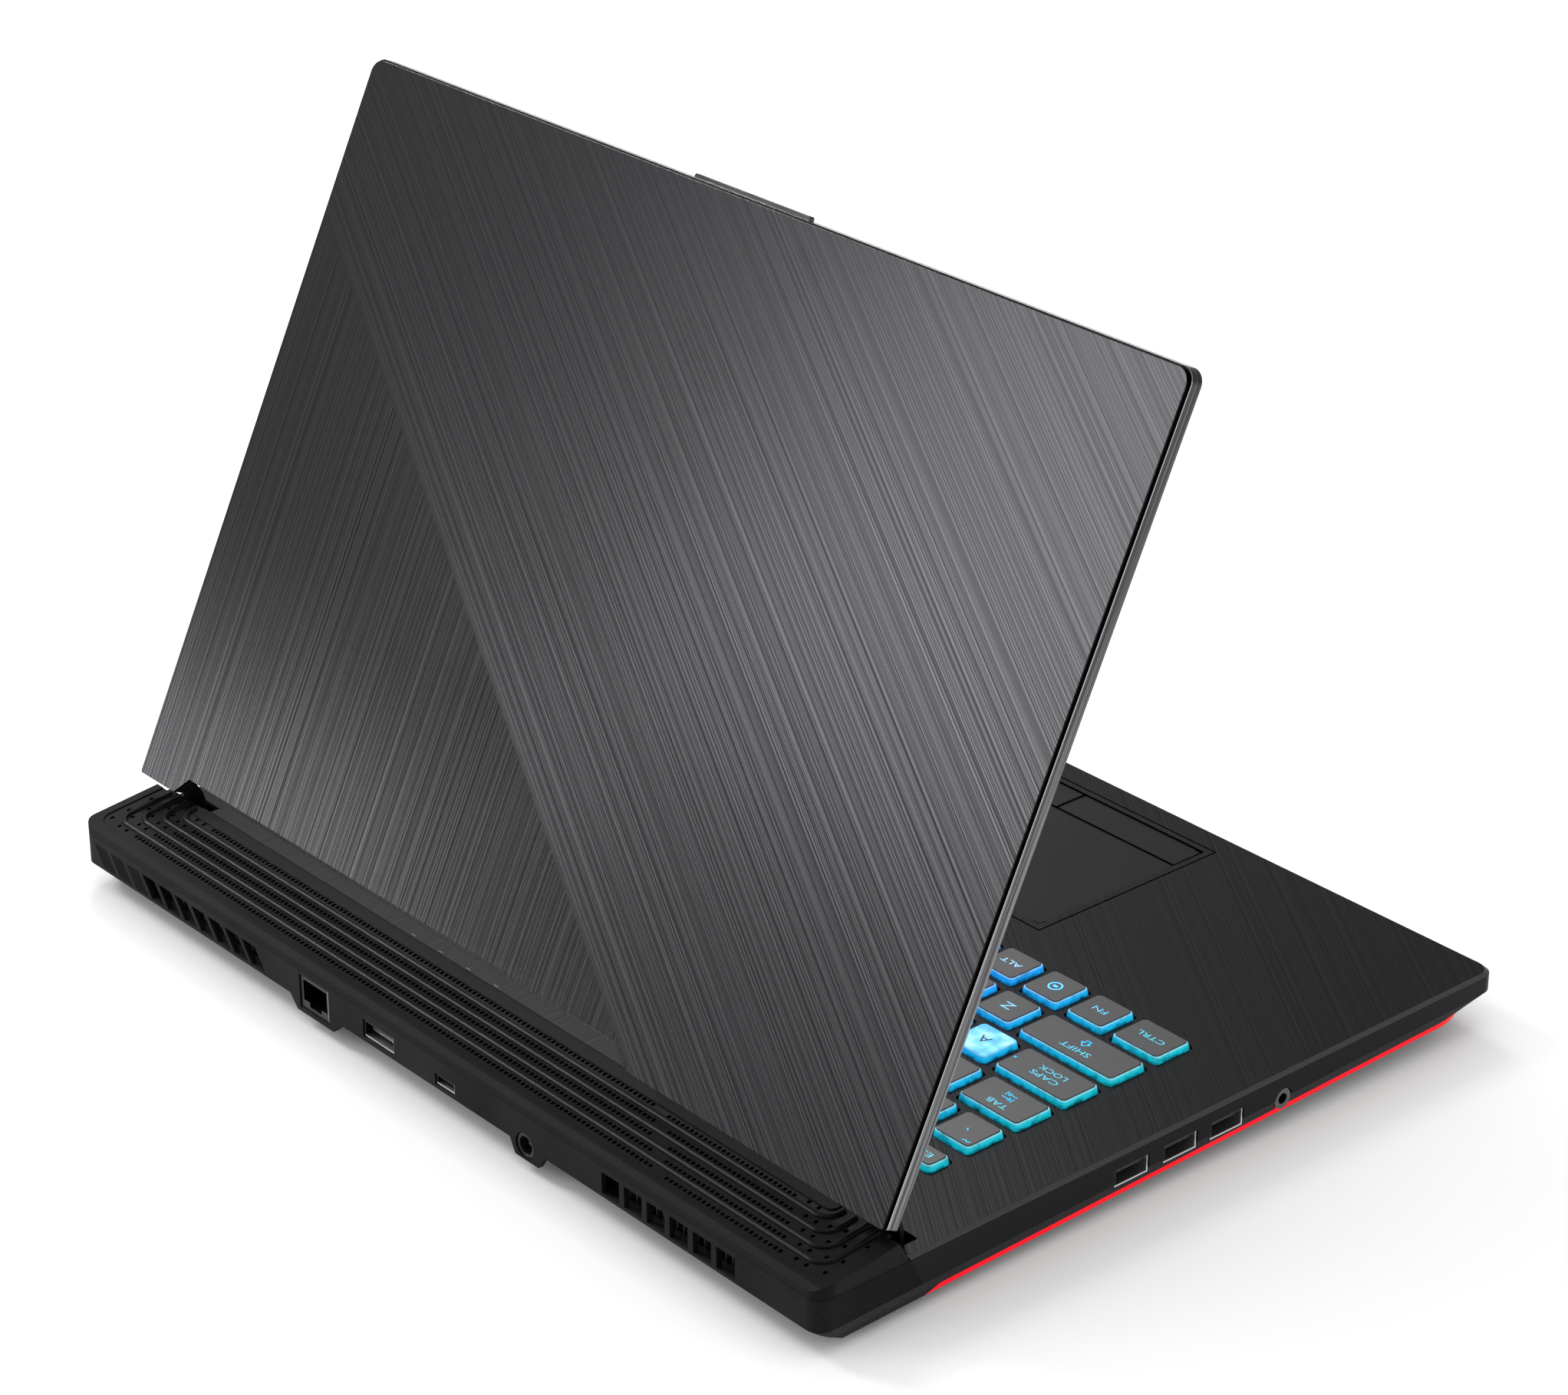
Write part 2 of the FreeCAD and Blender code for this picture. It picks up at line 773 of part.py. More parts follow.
def rear_hood():
    body = base_layer(0, hood_seam, 0, hood_top + 2)
    bevel_y = half_depth - hood_bevel
    profile = [(hood_edge_low_y, hood_seam), (half_depth, hood_seam),
               (half_depth, hood_seam + hood_rear_wall), (bevel_y, hood_level(bevel_y)),
               (hood_edge_top_y, hood_level(hood_edge_top_y)), (hood_edge_low_y, deck_top)]
    ends = body.common(side_prism(profile, -far, far))
    middle_profile = [(hood_front_y, deck_top), (hood_edge_top_y, deck_top),
                      (hood_edge_top_y, hood_level(hood_edge_top_y)), (hood_front_y, hood_top)]
    middle = side_prism(middle_profile, -deck_cut_outer, deck_cut_outer)
    front_trim = box(-deck_cut_outer, deck_cut_outer, 0, hood_front_y, 0, far)
    shape = fused([ends.cut(front_trim), middle])
    rear_under = half_depth - shell_wall
    under = [(hood_front_y + strip_wall, hood_seam - past), (rear_under, hood_seam - past),
             (rear_under, hood_level(rear_under) - hood_plate - hood_bevel / 2),
             (bevel_y - hood_bevel, hood_level(bevel_y - hood_bevel) - hood_plate),
             (hood_front_y + strip_wall, hood_level(hood_front_y + strip_wall) - hood_plate)]
    hollow = side_prism(under, -far, far).common(base_layer(shell_wall, 0, shell_wall, hood_top + 2))
    shape = shape.cut(hollow)
    gate_top = hood_level(hood_edge_top_y) - hood_plate
    gate = side_prism([(0, 0), (hood_edge_top_y, 0), (hood_edge_top_y, gate_top),
                       (0, hood_level(0) - hood_plate)], deck_cut_inner, deck_cut_outer)
    shape = shape.cut(gate).cut(mirrored(gate)).cut(on_hood(hood_sunk()))
    return shape.fuse(on_hood(hood_ribs())).cut(on_hood(hood_slots())).removeSplitter()


def hood_sunk():
    # The shallow U that holds the ribs, round three sides of the plateau.
    reach = half_width - hood_rim
    rear = rib_first + rib_count * rib_pitch
    corners = [(-reach, -rib_corner, 0), (-plateau_half, -rib_corner, 0),
               (-plateau_half, plateau_depth, rib_corner / 2), (plateau_half, plateau_depth, rib_corner / 2),
               (plateau_half, -rib_corner, 0), (reach, -rib_corner, 0), (reach, rear, rib_corner),
               (-reach, rear, rib_corner)]
    return slab(outline(corners, -hood_sink), hood_sink + past)


def hood_ribs():
    ribs = []
    for i in range(rib_count):
        y = rib_first + i * rib_pitch
        half = rib_half_first + i * rib_half_pitch
        front = hood_edge_top_y - hood_front_y
        corners = [(-half, front, 0), (-half, y, rib_corner), (half, y, rib_corner), (half, front, 0)]
        path = Part.Wire(outline(corners, -hood_sink).Edges[:-1])
        start = path.Edges[0].Vertexes[0].Point
        profile = Part.Wire(Part.makeCircle(rib_radius, start, vec(0, 1, 0)))
        tube = Part.Solid(path.makePipeShell([profile], True, False))
        ribs.append(tube)
    top = box(-far, far, -far, far, -hood_sink - rib_radius / 2, far)
    return Part.makeCompound([rib.common(top) for rib in ribs])


def hood_slots():
    spots = []
    for row in range(rib_count + 1):
        y = rib_first + row * rib_pitch - slot_before_rib
        reach = slot_half_first + row * slot_half_pitch
        pause = slot_break_first + row * slot_break_pitch
        steps = int(reach / slot_pitch)
        for i in range(-steps, steps + 1):
            x = i * slot_pitch
            if abs(x - pause) > slot_break_half:
                spots.append((x, y + slot_jog if x < pause else y))
        turn = rib_half_first + (row - 0.5) * rib_half_pitch
        for side in (-1, 1):
            for i in range(slot_singles):
                spots.append((side * (reach + (i + 1) * slot_single_pitch), y))
            for ahead in slot_turns:
                if y - ahead > plateau_depth - past and row > 0:
                    spots.append((side * turn, y - ahead))
    return Part.makeCompound([block(x, y, slot_width, slot_depth, -2 * hood_plate, past) for x, y in spots])


def rear_panel():
    keep = side_prism([(rear_seam_low_y, seam_at(rear_seam_low_y)), (far, seam_at(far)), (far, hood_seam),
                       (rear_seam_top_y - rear_seam_foot, hood_seam)], -far, far)
    inside = base_layer(shell_wall, -past, shell_wall, hood_seam + past)
    shape = base_layer(0, 0, 0, hood_seam).cut(inside).common(keep)
    shape = fused([shape, tab_prism(lan_tab, 0), tab_prism(inlet_tab, 0)])
    cuts = rear_sockets(socket_slit)
    for i in range(vent_count):
        cuts.append(vent_opening(vent_right_start + i * vent_pitch, vent_pitch - vent_bar, vent_lean))
    for i in range(left_vent_count):
        cuts.append(vent_opening(left_vent_start - i * left_vent_pitch, vent_bar - left_vent_pitch, 0))
    step = (vent_pitch - vent_bar) / blank_lines
    front = box(-far, far, half_depth - blank_groove, far, 0, far)
    for i in range(blank_count):
        start = vent_right_start + (vent_count + i) * vent_pitch
        for line in range(blank_lines):
            cuts.append(vent_opening(start + line * step, step / 2, vent_lean).common(front))
    shape = shape.cut(Part.makeCompound(cuts))
    # Four parts meet round the network opening, so that none of them bridges it.
    left = lan_x - lan_width / 2 - socket_slit
    right = lan_x + lan_width / 2 + socket_slit
    parts = [(-far, left, -far, far), (right, far, -far, far), (left, right, -far, lan_level),
             (left, right, lan_level, far)]
    return Part.makeCompound([shape.common(box(x0, x1, -far, far, low, high)) for x0, x1, low, high in parts])


def vent_opening(x, width, lean):
    points = [(x, vent_low), (x + width, vent_low), (x + width + lean, vent_high), (x + lean, vent_high)]
    return rear_prism(points, half_depth - shell_wall - past, half_depth + past)


def usb_sockets():
    sockets = []
    for y in usb_places:
        start = socket_setback - half_width
        wide = usb_width / 2 - socket_wall
        tall = usb_height / 2 - socket_wall
        end = start + usb_length
        top = usb_level + tall
        bore = box(start - past, end - socket_wall, y - wide, y + wide, usb_level - tall, top)
        tongue = box(start + tongue_setback, end, y - usb_tongue_width / 2, y + usb_tongue_width / 2,
                     top - usb_tongue, top)
        sockets.append(fused([usb_shell(y, 0).cut(bore), tongue]))
    return Part.makeCompound(sockets)


def audio_jack():
    start = socket_setback - half_width
    bore = crosswise(audio_bore, start - past, start + audio_length - audio_floor, audio_y, audio_level)
    return audio_body(0).cut(bore)


def tongue_socket(x, level, width, height, length, tongue_width, tongue_height):
    shell = rear_block(x, level, width, height, length, 0)
    rear = half_depth - socket_setback
    half = width / 2 - socket_wall
    rise = height / 2 - socket_wall
    bore = box(x - half, x + half, rear - length + socket_wall, rear + past, level - rise, level + rise)
    tongue = box(x - tongue_width / 2, x + tongue_width / 2, rear - length, rear - tongue_setback,
                 level - tongue_height / 2, level + tongue_height / 2)
    return fused([shell.cut(bore), tongue])


def lan_socket():
    shell = rear_block(lan_x, lan_level, lan_width, lan_height, lan_length, 0)
    rear = half_depth - socket_setback
    end = rear - lan_length + lan_wall
    half = lan_width / 2 - lan_wall
    top = lan_level + lan_height / 2 - lan_wall
    low = lan_level - lan_height / 2 + lan_wall
    bore = box(lan_x - half, lan_x + half, end, rear + past, low + lan_latch, top)
    latch = box(lan_x - half / 2, lan_x + half / 2, end, rear + past, low, top)
    return shell.cut(bore).cut(latch)


def video_socket():
    return tongue_socket(video_x, video_level, video_width, video_height, video_length,
                         video_tongue_width, video_tongue)


def small_data_socket():
    return tongue_socket(small_x, small_level, small_width, small_height, small_length,
                         small_tongue_width, small_tongue)


def power_inlet():
    rear = half_depth - socket_setback
    end = rear - power_inlet_length + power_inlet_floor
    bore = lengthwise(power_inlet_bore, power_inlet_x, end, rear + past, power_inlet_level)
    pin = lengthwise(power_inlet_pin, power_inlet_x, end, rear - tongue_setback, power_inlet_level)
    return fused([inlet_body(0).cut(bore), pin])


def touchpad():
    x = (pad_left + pad_right) / 2
    wide = pad_right - pad_left
    low = deck_under - pad_thick
    deep = pad_rear - pad_front - 2 * pad_gap
    sheet = pad(x, (pad_front + pad_rear) / 2, wide - 2 * pad_gap, deep, pad_corner,
                deck_under, deck_top - pad_recess)
    whole = (pad_button_front + pad_rear) / 2
    carrier = pad(x, whole, wide + 2 * pad_flange, pad_rear - pad_button_front + 2 * pad_flange, pad_corner,
                  low, deck_under)
    well = pad(x, (pad_button_front + pad_front) / 2, wide, pad_front - pad_button_front, pad_corner,
               low + pad_thick / 2, deck_top)
    stems = [pad_stem(side, stem_fit, low - past, deck_under) for side in (-1, 1)]
    return fused([sheet, carrier]).cut(Part.makeCompound([well] + stems))


def pad_stem(side, grow, low, high):
    middle = (pad_left + pad_right) / 2
    x = middle + side * (pad_right - pad_left) / 4
    y = (pad_front + pad_button_front) / 2
    return block(x, y, button_stem + 2 * grow, button_stem + 2 * grow, low, high)


def pad_button(side):
    middle = (pad_left + pad_right) / 2
    inner = middle + side * pad_gap / 2
    outer = pad_right - pad_gap if side > 0 else pad_left + pad_gap
    low = deck_under + button_travel / 2
    front = pad_button_front + pad_gap
    cap = pad((inner + outer) / 2, (front + pad_front) / 2, abs(outer - inner), pad_front - front, pad_corner,
              low, deck_top - pad_recess)
    return fused([cap, pad_stem(side, 0, low - button_stem_drop, low)])


def power_button():
    top = deck_top + power_rise
    return pad(power_x, power_y, power_width, power_depth, power_corner, top - power_height, top)


def arc_sector(inner, outer, start, stop, x0, x1):
    # A ring sector about the hinge axis, angles from +Y towards +Z, lid closed.
    def at(radius, angle):
        turn = math.radians(angle)
        return vec(x0, hinge_y + radius * math.cos(turn), hinge_z + radius * math.sin(turn))
    middle = (start + stop) / 2
    edges = [Part.Arc(at(outer, start), at(outer, middle), at(outer, stop)).toShape(),
             Part.makeLine(at(outer, stop), at(inner, stop)),
             Part.Arc(at(inner, stop), at(inner, middle), at(inner, start)).toShape(),
             Part.makeLine(at(inner, start), at(outer, start))]
    return Part.Face(Part.Wire(edges)).extrude(vec(x1 - x0, 0, 0))


def hinge_arm():
    inside = arm_outer_radius - arm_thick
    skirt = arc_sector(inside, arm_outer_radius, arm_start, arm_end, arm_inner, arm_outer)
    flange_low = lid_cavity_top - arm_flange_thick
    skirt_y = hinge_y - math.sqrt(inside ** 2 - (flange_low - hinge_z) ** 2)
    flange = box(arm_inner, arm_outer, arm_flange_y, skirt_y, flange_low, lid_cavity_top)
    over = box(arm_inner - past, arm_outer + past, 0, far, lid_cavity_top, far)
    web = arc_sector(hinge_hub / 2, arm_outer_radius - arm_thick / 2, arm_end - arm_web, arm_end, arm_inner,
                     arm_inner + arm_web_width)
    hub = crosswise(hinge_hub, arm_inner, arm_inner + arm_web_width, hinge_y, hinge_z)
    pin = crosswise(hinge_pin, hinge_pin_start, arm_inner + past, hinge_y, hinge_z)
    return fused([skirt.cut(over), flange, web, hub, pin])


def hinge_bracket():
    start = hinge_pin_start + hinge_gap
    stop = arm_inner - hinge_gap
    barrel = crosswise(hinge_hub, start, stop, hinge_y, hinge_z)
    post = block((start + stop) / 2, hinge_y, stop - start, bracket_thick, floor_top, hinge_z)
    foot = block((start + stop) / 2, hinge_y, stop - start, bracket_foot, floor_top, floor_top + bracket_thick)
    bore = crosswise(hinge_pin + hinge_running_fit, start - past, stop + past, hinge_y, hinge_z)
    return fused([barrel, post, foot]).cut(bore)


def lid_wire(inset, z):
    half = lid_width / 2 - inset
    front = lid_front + inset
    return outline([(-half, front, lid_corner), (half, front, lid_corner), (half, lid_rear, lid_low_corner),
                    (-half, lid_rear, lid_low_corner)], z)


def notch_corners(wall):
    # The notch in the lid's lower edge, or the line a wall's thickness inside it.
    rear = lid_rear - wall
    top = lid_rear - notch_depth - wall
    return [(notch_left_low - wall, rear), (notch_left_top - wall, top), (notch_right_top + wall, top),
            (notch_right_low + wall, rear)]


def lid_cavity(inset, z, thick):
    half = lid_width / 2 - inset
    front = lid_front + inset
    corners = [(-half, front, lid_corner), (half, front, lid_corner), (half, lid_rear - inset, 0)]
    for x, y in reversed(notch_corners(inset)):
        corners.append((x, y, 0))
    corners.append((-half, lid_rear - inset, 0))
    return slab(outline(corners, z), thick)


def lid_cover():
    plate_low = hood_top - lid_plate
    frame = Part.makeLoft([lid_wire(0, lid_inner), lid_wire(lid_frame_draft, plate_low)], True, True)
    plate = slab(lid_wire(lid_plate_inset, plate_low), lid_plate)
    lip = pad(0, lid_front, 2 * lip_half, 2 * lip_reach, lip_corner, lid_inner, lid_inner + lip_thick)
    notch = [(x, y, 0) for x, y in notch_corners(0)]
    notch[0] = (notch[0][0] - past, lid_rear + past, 0)
    notch[-1] = (notch[-1][0] + past, lid_rear + past, 0)
    cut = slab(outline(notch, lid_inner - past), lid_thick + 2 * past)
    shape = fused([frame, plate, lip]).cut(cut)
    return opened(shape.cut(lid_cavity(lid_wall, lid_inner - past, lid_cavity_top - lid_inner + past)))


def lid_bezel():
    sheet = lid_cavity(lid_wall + lid_fit, bezel_low, bezel_thick)
    window = box(-screen_width / 2, screen_width / 2, screen_front, screen_rear, 0, far)
    gate = box(arm_inner - arm_slit, arm_outer + arm_slit, hinge_y - arm_outer_radius - arm_slit, far, 0, far)
    return opened(sheet.cut(window).cut(gate).cut(mirrored(gate)))


def display_panel():
    middle = (screen_front + screen_rear) / 2
    return opened(block(0, middle, screen_width + 2 * screen_lap, screen_height + 2 * screen_lap,
                        bezel_high, bezel_high + panel_thick))


def bezel_bumpers():
    bumpers = []
    low = deck_top + bumper_gap
    for y in ((lid_front + lid_wall + screen_front) / 2, bumper_low_y):
        for side in (-1, 1):
            bumpers.append(opened(upright(bumper_radius, side * bumper_x, y, low, bezel_low)))
    return Part.makeCompound(bumpers)


def main_board():
    wing = half_width - groove_wall - board_margin
    rear = half_depth - groove_wall - board_margin
    places = [(-wing, board_front), (-board_half, board_front), (-board_half, board_middle),
              (board_half, board_middle), (board_half, rear), (-board_half, rear),
              (-board_half, board_wing_rear), (-wing, board_wing_rear)]
    corners = [(x, y, board_corner) for x, y in places]
    board = slab(outline(corners, board_level), board_thick)
    clear = Part.makeCompound(side_sockets(socket_slit) + rear_sockets(socket_slit))
    return board.cut(clear)


def fan_housing():
    case = pad(fan_x, fan_y, 2 * fan_half, 2 * fan_half, fan_corner, fan_low, fan_high)
    low = fan_low + fan_wall
    high = fan_high - fan_wall
    bore = upright(fan_bore, fan_x, fan_y, low, high)
    outlet = box(fan_x - fan_bore + fan_cutoff, fan_x + fan_bore, fan_y, fan_y + fan_half + past, low, high)
    inlet = upright(fan_inlet, fan_x, fan_y, high - past, fan_high + past)
    bearing = upright(rotor_shaft + bearing_wall, fan_x, fan_y, fan_low, low + bearing_height)
    shaft_bore = upright(rotor_shaft + rotor_fit, fan_x, fan_y, low, fan_high)
    ring = []
    for i in range(intake_rows):
        y = fan_y + (i - (intake_rows - 1) / 2) * intake_pitch
        if abs(y - fan_y) < fan_inlet:
            reach = math.sqrt(fan_inlet ** 2 - (y - fan_y) ** 2)
            ring.append(block(fan_x, y, 2 * reach, intake_slot, fan_low - past, low + past))
    shape = case.cut(Part.makeCompound([bore, outlet, inlet])).cut(Part.makeCompound(ring))
    return shape.fuse(bearing).cut(shaft_bore).removeSplitter()


def fan_rotor():
    low = fan_low + fan_wall + rotor_gap
    high = fan_high - fan_wall - rotor_gap
    cup = upright(rotor_hub, fan_x, fan_y, low, high)
    hollow = upright(rotor_hub - rotor_shell, fan_x, fan_y, low - past, high - rotor_shell)
    shaft = upright(rotor_shaft, fan_x, fan_y, fan_low + fan_wall + rotor_gap / 2, high)
    blades = []
    for i in range(rotor_blades):
        middle = fan_x + (rotor_root + rotor_tip) / 2
        blade = block(middle, fan_y, rotor_tip - rotor_root, rotor_blade, low, high)
        blade.rotate(vec(fan_x + rotor_hub, fan_y, 0), vec(0, 0, 1), rotor_sweep)
        blade.rotate(vec(fan_x, fan_y, 0), vec(0, 0, 1), 360.0 * i / rotor_blades)
        blades.append(blade)
    rim = upright(rotor_tip, fan_x, fan_y, low, high)
    return fused([cup.cut(hollow), shaft] + [blade.common(rim) for blade in blades])


def fin_stack():
    count = int((fin_right - fin_left) / fin_pitch)
    step = (fin_right - fin_left - fin_sheet) / count
    sheets = [box(fin_left, fin_right, fin_front, fin_rear, fin_high - fin_sheet, fin_high)]
    for i in range(count + 1):
        x = fin_left + i * step
        sheets.append(box(x, x + fin_sheet, fin_front, fin_rear, fin_low, fin_high))
    stack = fused(sheets)
    foot = box(fin_left, fin_right, fin_front, fin_front + fin_foot, floor_top, fin_low)
    return fused([stack, foot])


def heat_pipe():
    level = fin_high + pipe_radius + pipe_rest
    reach = fin_right - pipe_end
    points = [(-reach, pipe_fin_y), (-pipe_knee, pipe_fin_y), (-pipe_centre_half, pipe_centre_y),
              (pipe_centre_half, pipe_centre_y), (pipe_knee, pipe_fin_y), (reach, pipe_fin_y)]
    corners = [(x, y, pipe_bend if abs(x) < reach else 0) for x, y in points]
    path = Part.Wire(outline(corners, level).Edges[:-1])
    profile = Part.Wire(Part.makeCircle(pipe_radius, vec(-reach, pipe_fin_y, level), vec(1, 0, 0)))
    return Part.Solid(path.makePipeShell([profile], True, False))


def heat_spreader():
    plate = box(-spreader_half, spreader_half, spreader_front, spreader_rear, board_top,
                board_top + spreader_thick)
    saddle = box(-spreader_half, spreader_half, pipe_centre_y - saddle_half, spreader_rear, board_top, fin_high)
    return fused([plate, saddle])


def battery():
    top = floor_top + battery_height
    y = (battery_front + battery_rear) / 2
    deep = battery_rear - battery_front
    pack = pad(0, y, 2 * battery_half, deep, battery_corner, floor_top, top)
    grooves = []
    for i in range(1, battery_cells):
        x = battery_half * (2.0 * i / battery_cells - 1)
        grooves.append(block(x, y, battery_groove, deep + past, top - battery_groove, top + past))
    return pack.cut(Part.makeCompound(grooves))


def hard_drive():
    width, length, height = drive_size
    x = drive_left + width / 2
    y = drive_front + length / 2
    top = floor_top + height
    case = pad(x, y, width, length, drive_corner, floor_top, top)
    return case.cut(block(x, y, width - drive_rim, length - drive_rim, top - drive_dent, top + past))


def board_card(place, height, chips):
    x, y, width, length = place
    chip_low = board_top + card_thick
    pieces = [box(x, x + width, y, y + length, board_top, chip_low)]
    along = length > width
    for i in range(chips):
        step = max(width, length) / chips
        place = (i + 0.5) * step
        chip_x = x + width / 2 if along else x + place
        chip_y = y + place if along else y + length / 2
        chip_width = (width if along else step) - chip_margin
        chip_depth = (step if along else length) - chip_margin
        pieces.append(block(chip_x, chip_y, chip_width, chip_depth, chip_low, board_top + height))
    return fused(pieces)


def speakers():
    x, y, width, length = speaker_place
    top = floor_top + speaker_height
    case = pad(x, y, width, length, speaker_corner, floor_top, top)
    base = vec(x, y, top - speaker_dish)
    cone = Part.makeCone(speaker_cone / 2, speaker_cone, speaker_dish, base, vec(0, 0, 1))
    speaker = case.cut(cone)
    return Part.makeCompound([speaker, mirrored(speaker)])


def main():
    os.makedirs("parts", exist_ok=True)
    arm = opened(hinge_arm())
    bracket = hinge_bracket()
    housing = fan_housing()
    rotor = fan_rotor()
    fins = fin_stack()
    save("bottom_cover", bottom_cover())
    save("rubber_feet", rubber_feet())
    save("bottom_screws", bottom_screws())
    save("light_bar", light_bar())
    save("palm_rest", palm_rest())
    save("indicator_strip", indicator_strip())
    save("status_lights", Part.makeCompound([light_slot(i, 0) for i in range(light_count)]))
    save("rear_hood", rear_hood())
    save("rear_panel", rear_panel())
    save("keyboard_plate", keyboard_plate())
    for node, shape in key_nodes().items():
        save(node, shape)
    save("touchpad", touchpad())
    save("touchpad_button_left", pad_button(-1))
    save("touchpad_button_right", pad_button(1))
    save("power_button", power_button())
    save("usb_sockets", usb_sockets())
    save("audio_jack", audio_jack())
    save("lan_socket", lan_socket())
    save("video_socket", video_socket())
    save("small_data_socket", small_data_socket())
    save("power_inlet", power_inlet())
    save("main_board", main_board())
    save("fan_housing_right", housing)
    save("fan_housing_left", mirrored(housing))
    save("fan_rotor_right", rotor)
    save("fan_rotor_left", mirrored(rotor))
    save("fin_stacks", Part.makeCompound([fins, mirrored(fins)]))
    save("heat_pipe", heat_pipe())
    save("heat_spreader", heat_spreader())
    save("battery", battery())
    save("hard_drive", hard_drive())
    save("ssd_card", board_card(ssd_place, card_height, ssd_chips))
    modules = [board_card(place, memory_height, memory_chips) for place in memory_places]
    save("memory_modules", Part.makeCompound(modules))
    save("wireless_card", board_card(wireless_place, card_height, wireless_chips))
    save("speakers", speakers())
    save("hinge_bracket_right", bracket)
    save("hinge_bracket_left", mirrored(bracket))
    save("hinge_arm_right", arm)
    save("hinge_arm_left", mirrored(arm))
    save("lid_cover", lid_cover())
    save("lid_bezel", lid_bezel())
    save("display_panel", display_panel())
    save("bezel_bumpers", bezel_bumpers())


main()
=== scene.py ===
import json
import math

import bmesh
import bpy
from mathutils import Matrix, Vector


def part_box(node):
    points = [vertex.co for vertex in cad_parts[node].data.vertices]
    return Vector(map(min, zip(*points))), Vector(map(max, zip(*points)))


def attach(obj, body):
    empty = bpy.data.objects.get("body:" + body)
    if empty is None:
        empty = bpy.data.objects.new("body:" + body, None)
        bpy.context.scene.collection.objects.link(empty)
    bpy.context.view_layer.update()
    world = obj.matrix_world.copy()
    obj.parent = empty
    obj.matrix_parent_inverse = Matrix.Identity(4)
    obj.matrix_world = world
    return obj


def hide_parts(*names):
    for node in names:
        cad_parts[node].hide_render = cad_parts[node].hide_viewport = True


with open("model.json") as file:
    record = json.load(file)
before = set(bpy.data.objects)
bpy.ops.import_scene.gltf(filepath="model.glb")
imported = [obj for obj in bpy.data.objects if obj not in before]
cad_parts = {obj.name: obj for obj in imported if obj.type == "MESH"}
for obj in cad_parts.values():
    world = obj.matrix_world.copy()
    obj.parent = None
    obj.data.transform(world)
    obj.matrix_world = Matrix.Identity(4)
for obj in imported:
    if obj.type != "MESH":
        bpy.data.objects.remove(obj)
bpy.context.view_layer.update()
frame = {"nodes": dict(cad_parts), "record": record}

nodes = frame["nodes"]
slotOf = {part["node"]: part["material_slot"] for part in frame["record"]["subparts"]}
bodyOf = {name: body for body, names in frame["record"]["behaviour"]["bodies"].items() for name in names}

mm = 0.001


def toLinear(code):  # "#rrggbb" as painted, to the linear colour a shader wants
    parts = [int(code[i:i + 2], 16) / 255 for i in (1, 3, 5)]
    return [c / 12.92 if c <= 0.04045 else ((c + 0.055) / 1.055) ** 2.4 for c in parts] + [1.0]


def addNode(tree, kind, inputs={}, stops=None, **settings):
    # Inputs go by name or number; a Mix takes 2 and 3 for values, 4 and 5 for vectors, 6 and 7 for colours
    node = tree.nodes.new("ShaderNode" + kind)
    for name, value in settings.items():
        setattr(node, name, value)
    for name, value in inputs.items():
        if isinstance(value, bpy.types.NodeSocket):
            tree.links.new(value, node.inputs[name])
        else:
            node.inputs[name].default_value = value
    if stops:
        ramp = node.color_ramp.elements
        ramp[0].position, ramp[0].color = stops[0][0], toLinear(stops[0][1])
        ramp[1].position, ramp[1].color = stops[-1][0], toLinear(stops[-1][1])
        for place, code in stops[1:-1]:
            ramp.new(place).color = toLinear(code)
    return node


def newMaterial(name, sockets):  # sockets hold what is the same all over
    made = bpy.data.materials.new(name)
    made.use_nodes = True
    shader = made.node_tree.nodes["Principled BSDF"]
    for socket, value in sockets.items():
        shader.inputs[socket].default_value = value
    return made, made.node_tree, shader


streakLook = {
    "lanes": ((1.0, 170, 0.58), (2.2, 300, 0.28), (5.0, 500, 0.14)),  # width over the finest, mm long, share
    "swayScale": 0.25, "sway": 2.0,      # scratches drift sideways, so that one ends and the next begins
    "spread": (0.41, 0.59),              # the part of the noise that is stretched from dark to light
}


def brushStreaks(tree, point, angle, finest):  # scratches of three widths, long along the brushing
    look = streakLook
    total = 0.0
    for times, length, share in look["lanes"]:
        laid = addNode(tree, "Mapping", {"Vector": point, "Rotation": (0, 0, angle),
                                         "Scale": (length * mm, finest * times * mm, 1)},
                       vector_type="TEXTURE")
        drift = addNode(tree, "TexNoise", {"Vector": laid.outputs[0], "Scale": look["swayScale"],
                                           "Detail": 0}, noise_dimensions="2D")
        way = addNode(tree, "SeparateXYZ", {0: laid.outputs[0]})
        across = addNode(tree, "Math", {0: drift.outputs[0], 1: look["sway"], 2: way.outputs[1]},
                         operation="MULTIPLY_ADD")
        scratch = addNode(tree, "TexNoise", {"W": across.outputs[0], "Scale": 1, "Detail": 2},
                          noise_dimensions="1D")
        total = addNode(tree, "Math", {0: scratch.outputs[0], 1: share, 2: total},
                        operation="MULTIPLY_ADD").outputs[0]
    spread = addNode(tree, "MapRange", {"Value": total, "From Min": look["spread"][0],
                                        "From Max": look["spread"][1]})
    return spread.outputs[0]


# Finishes of the lid and the deck

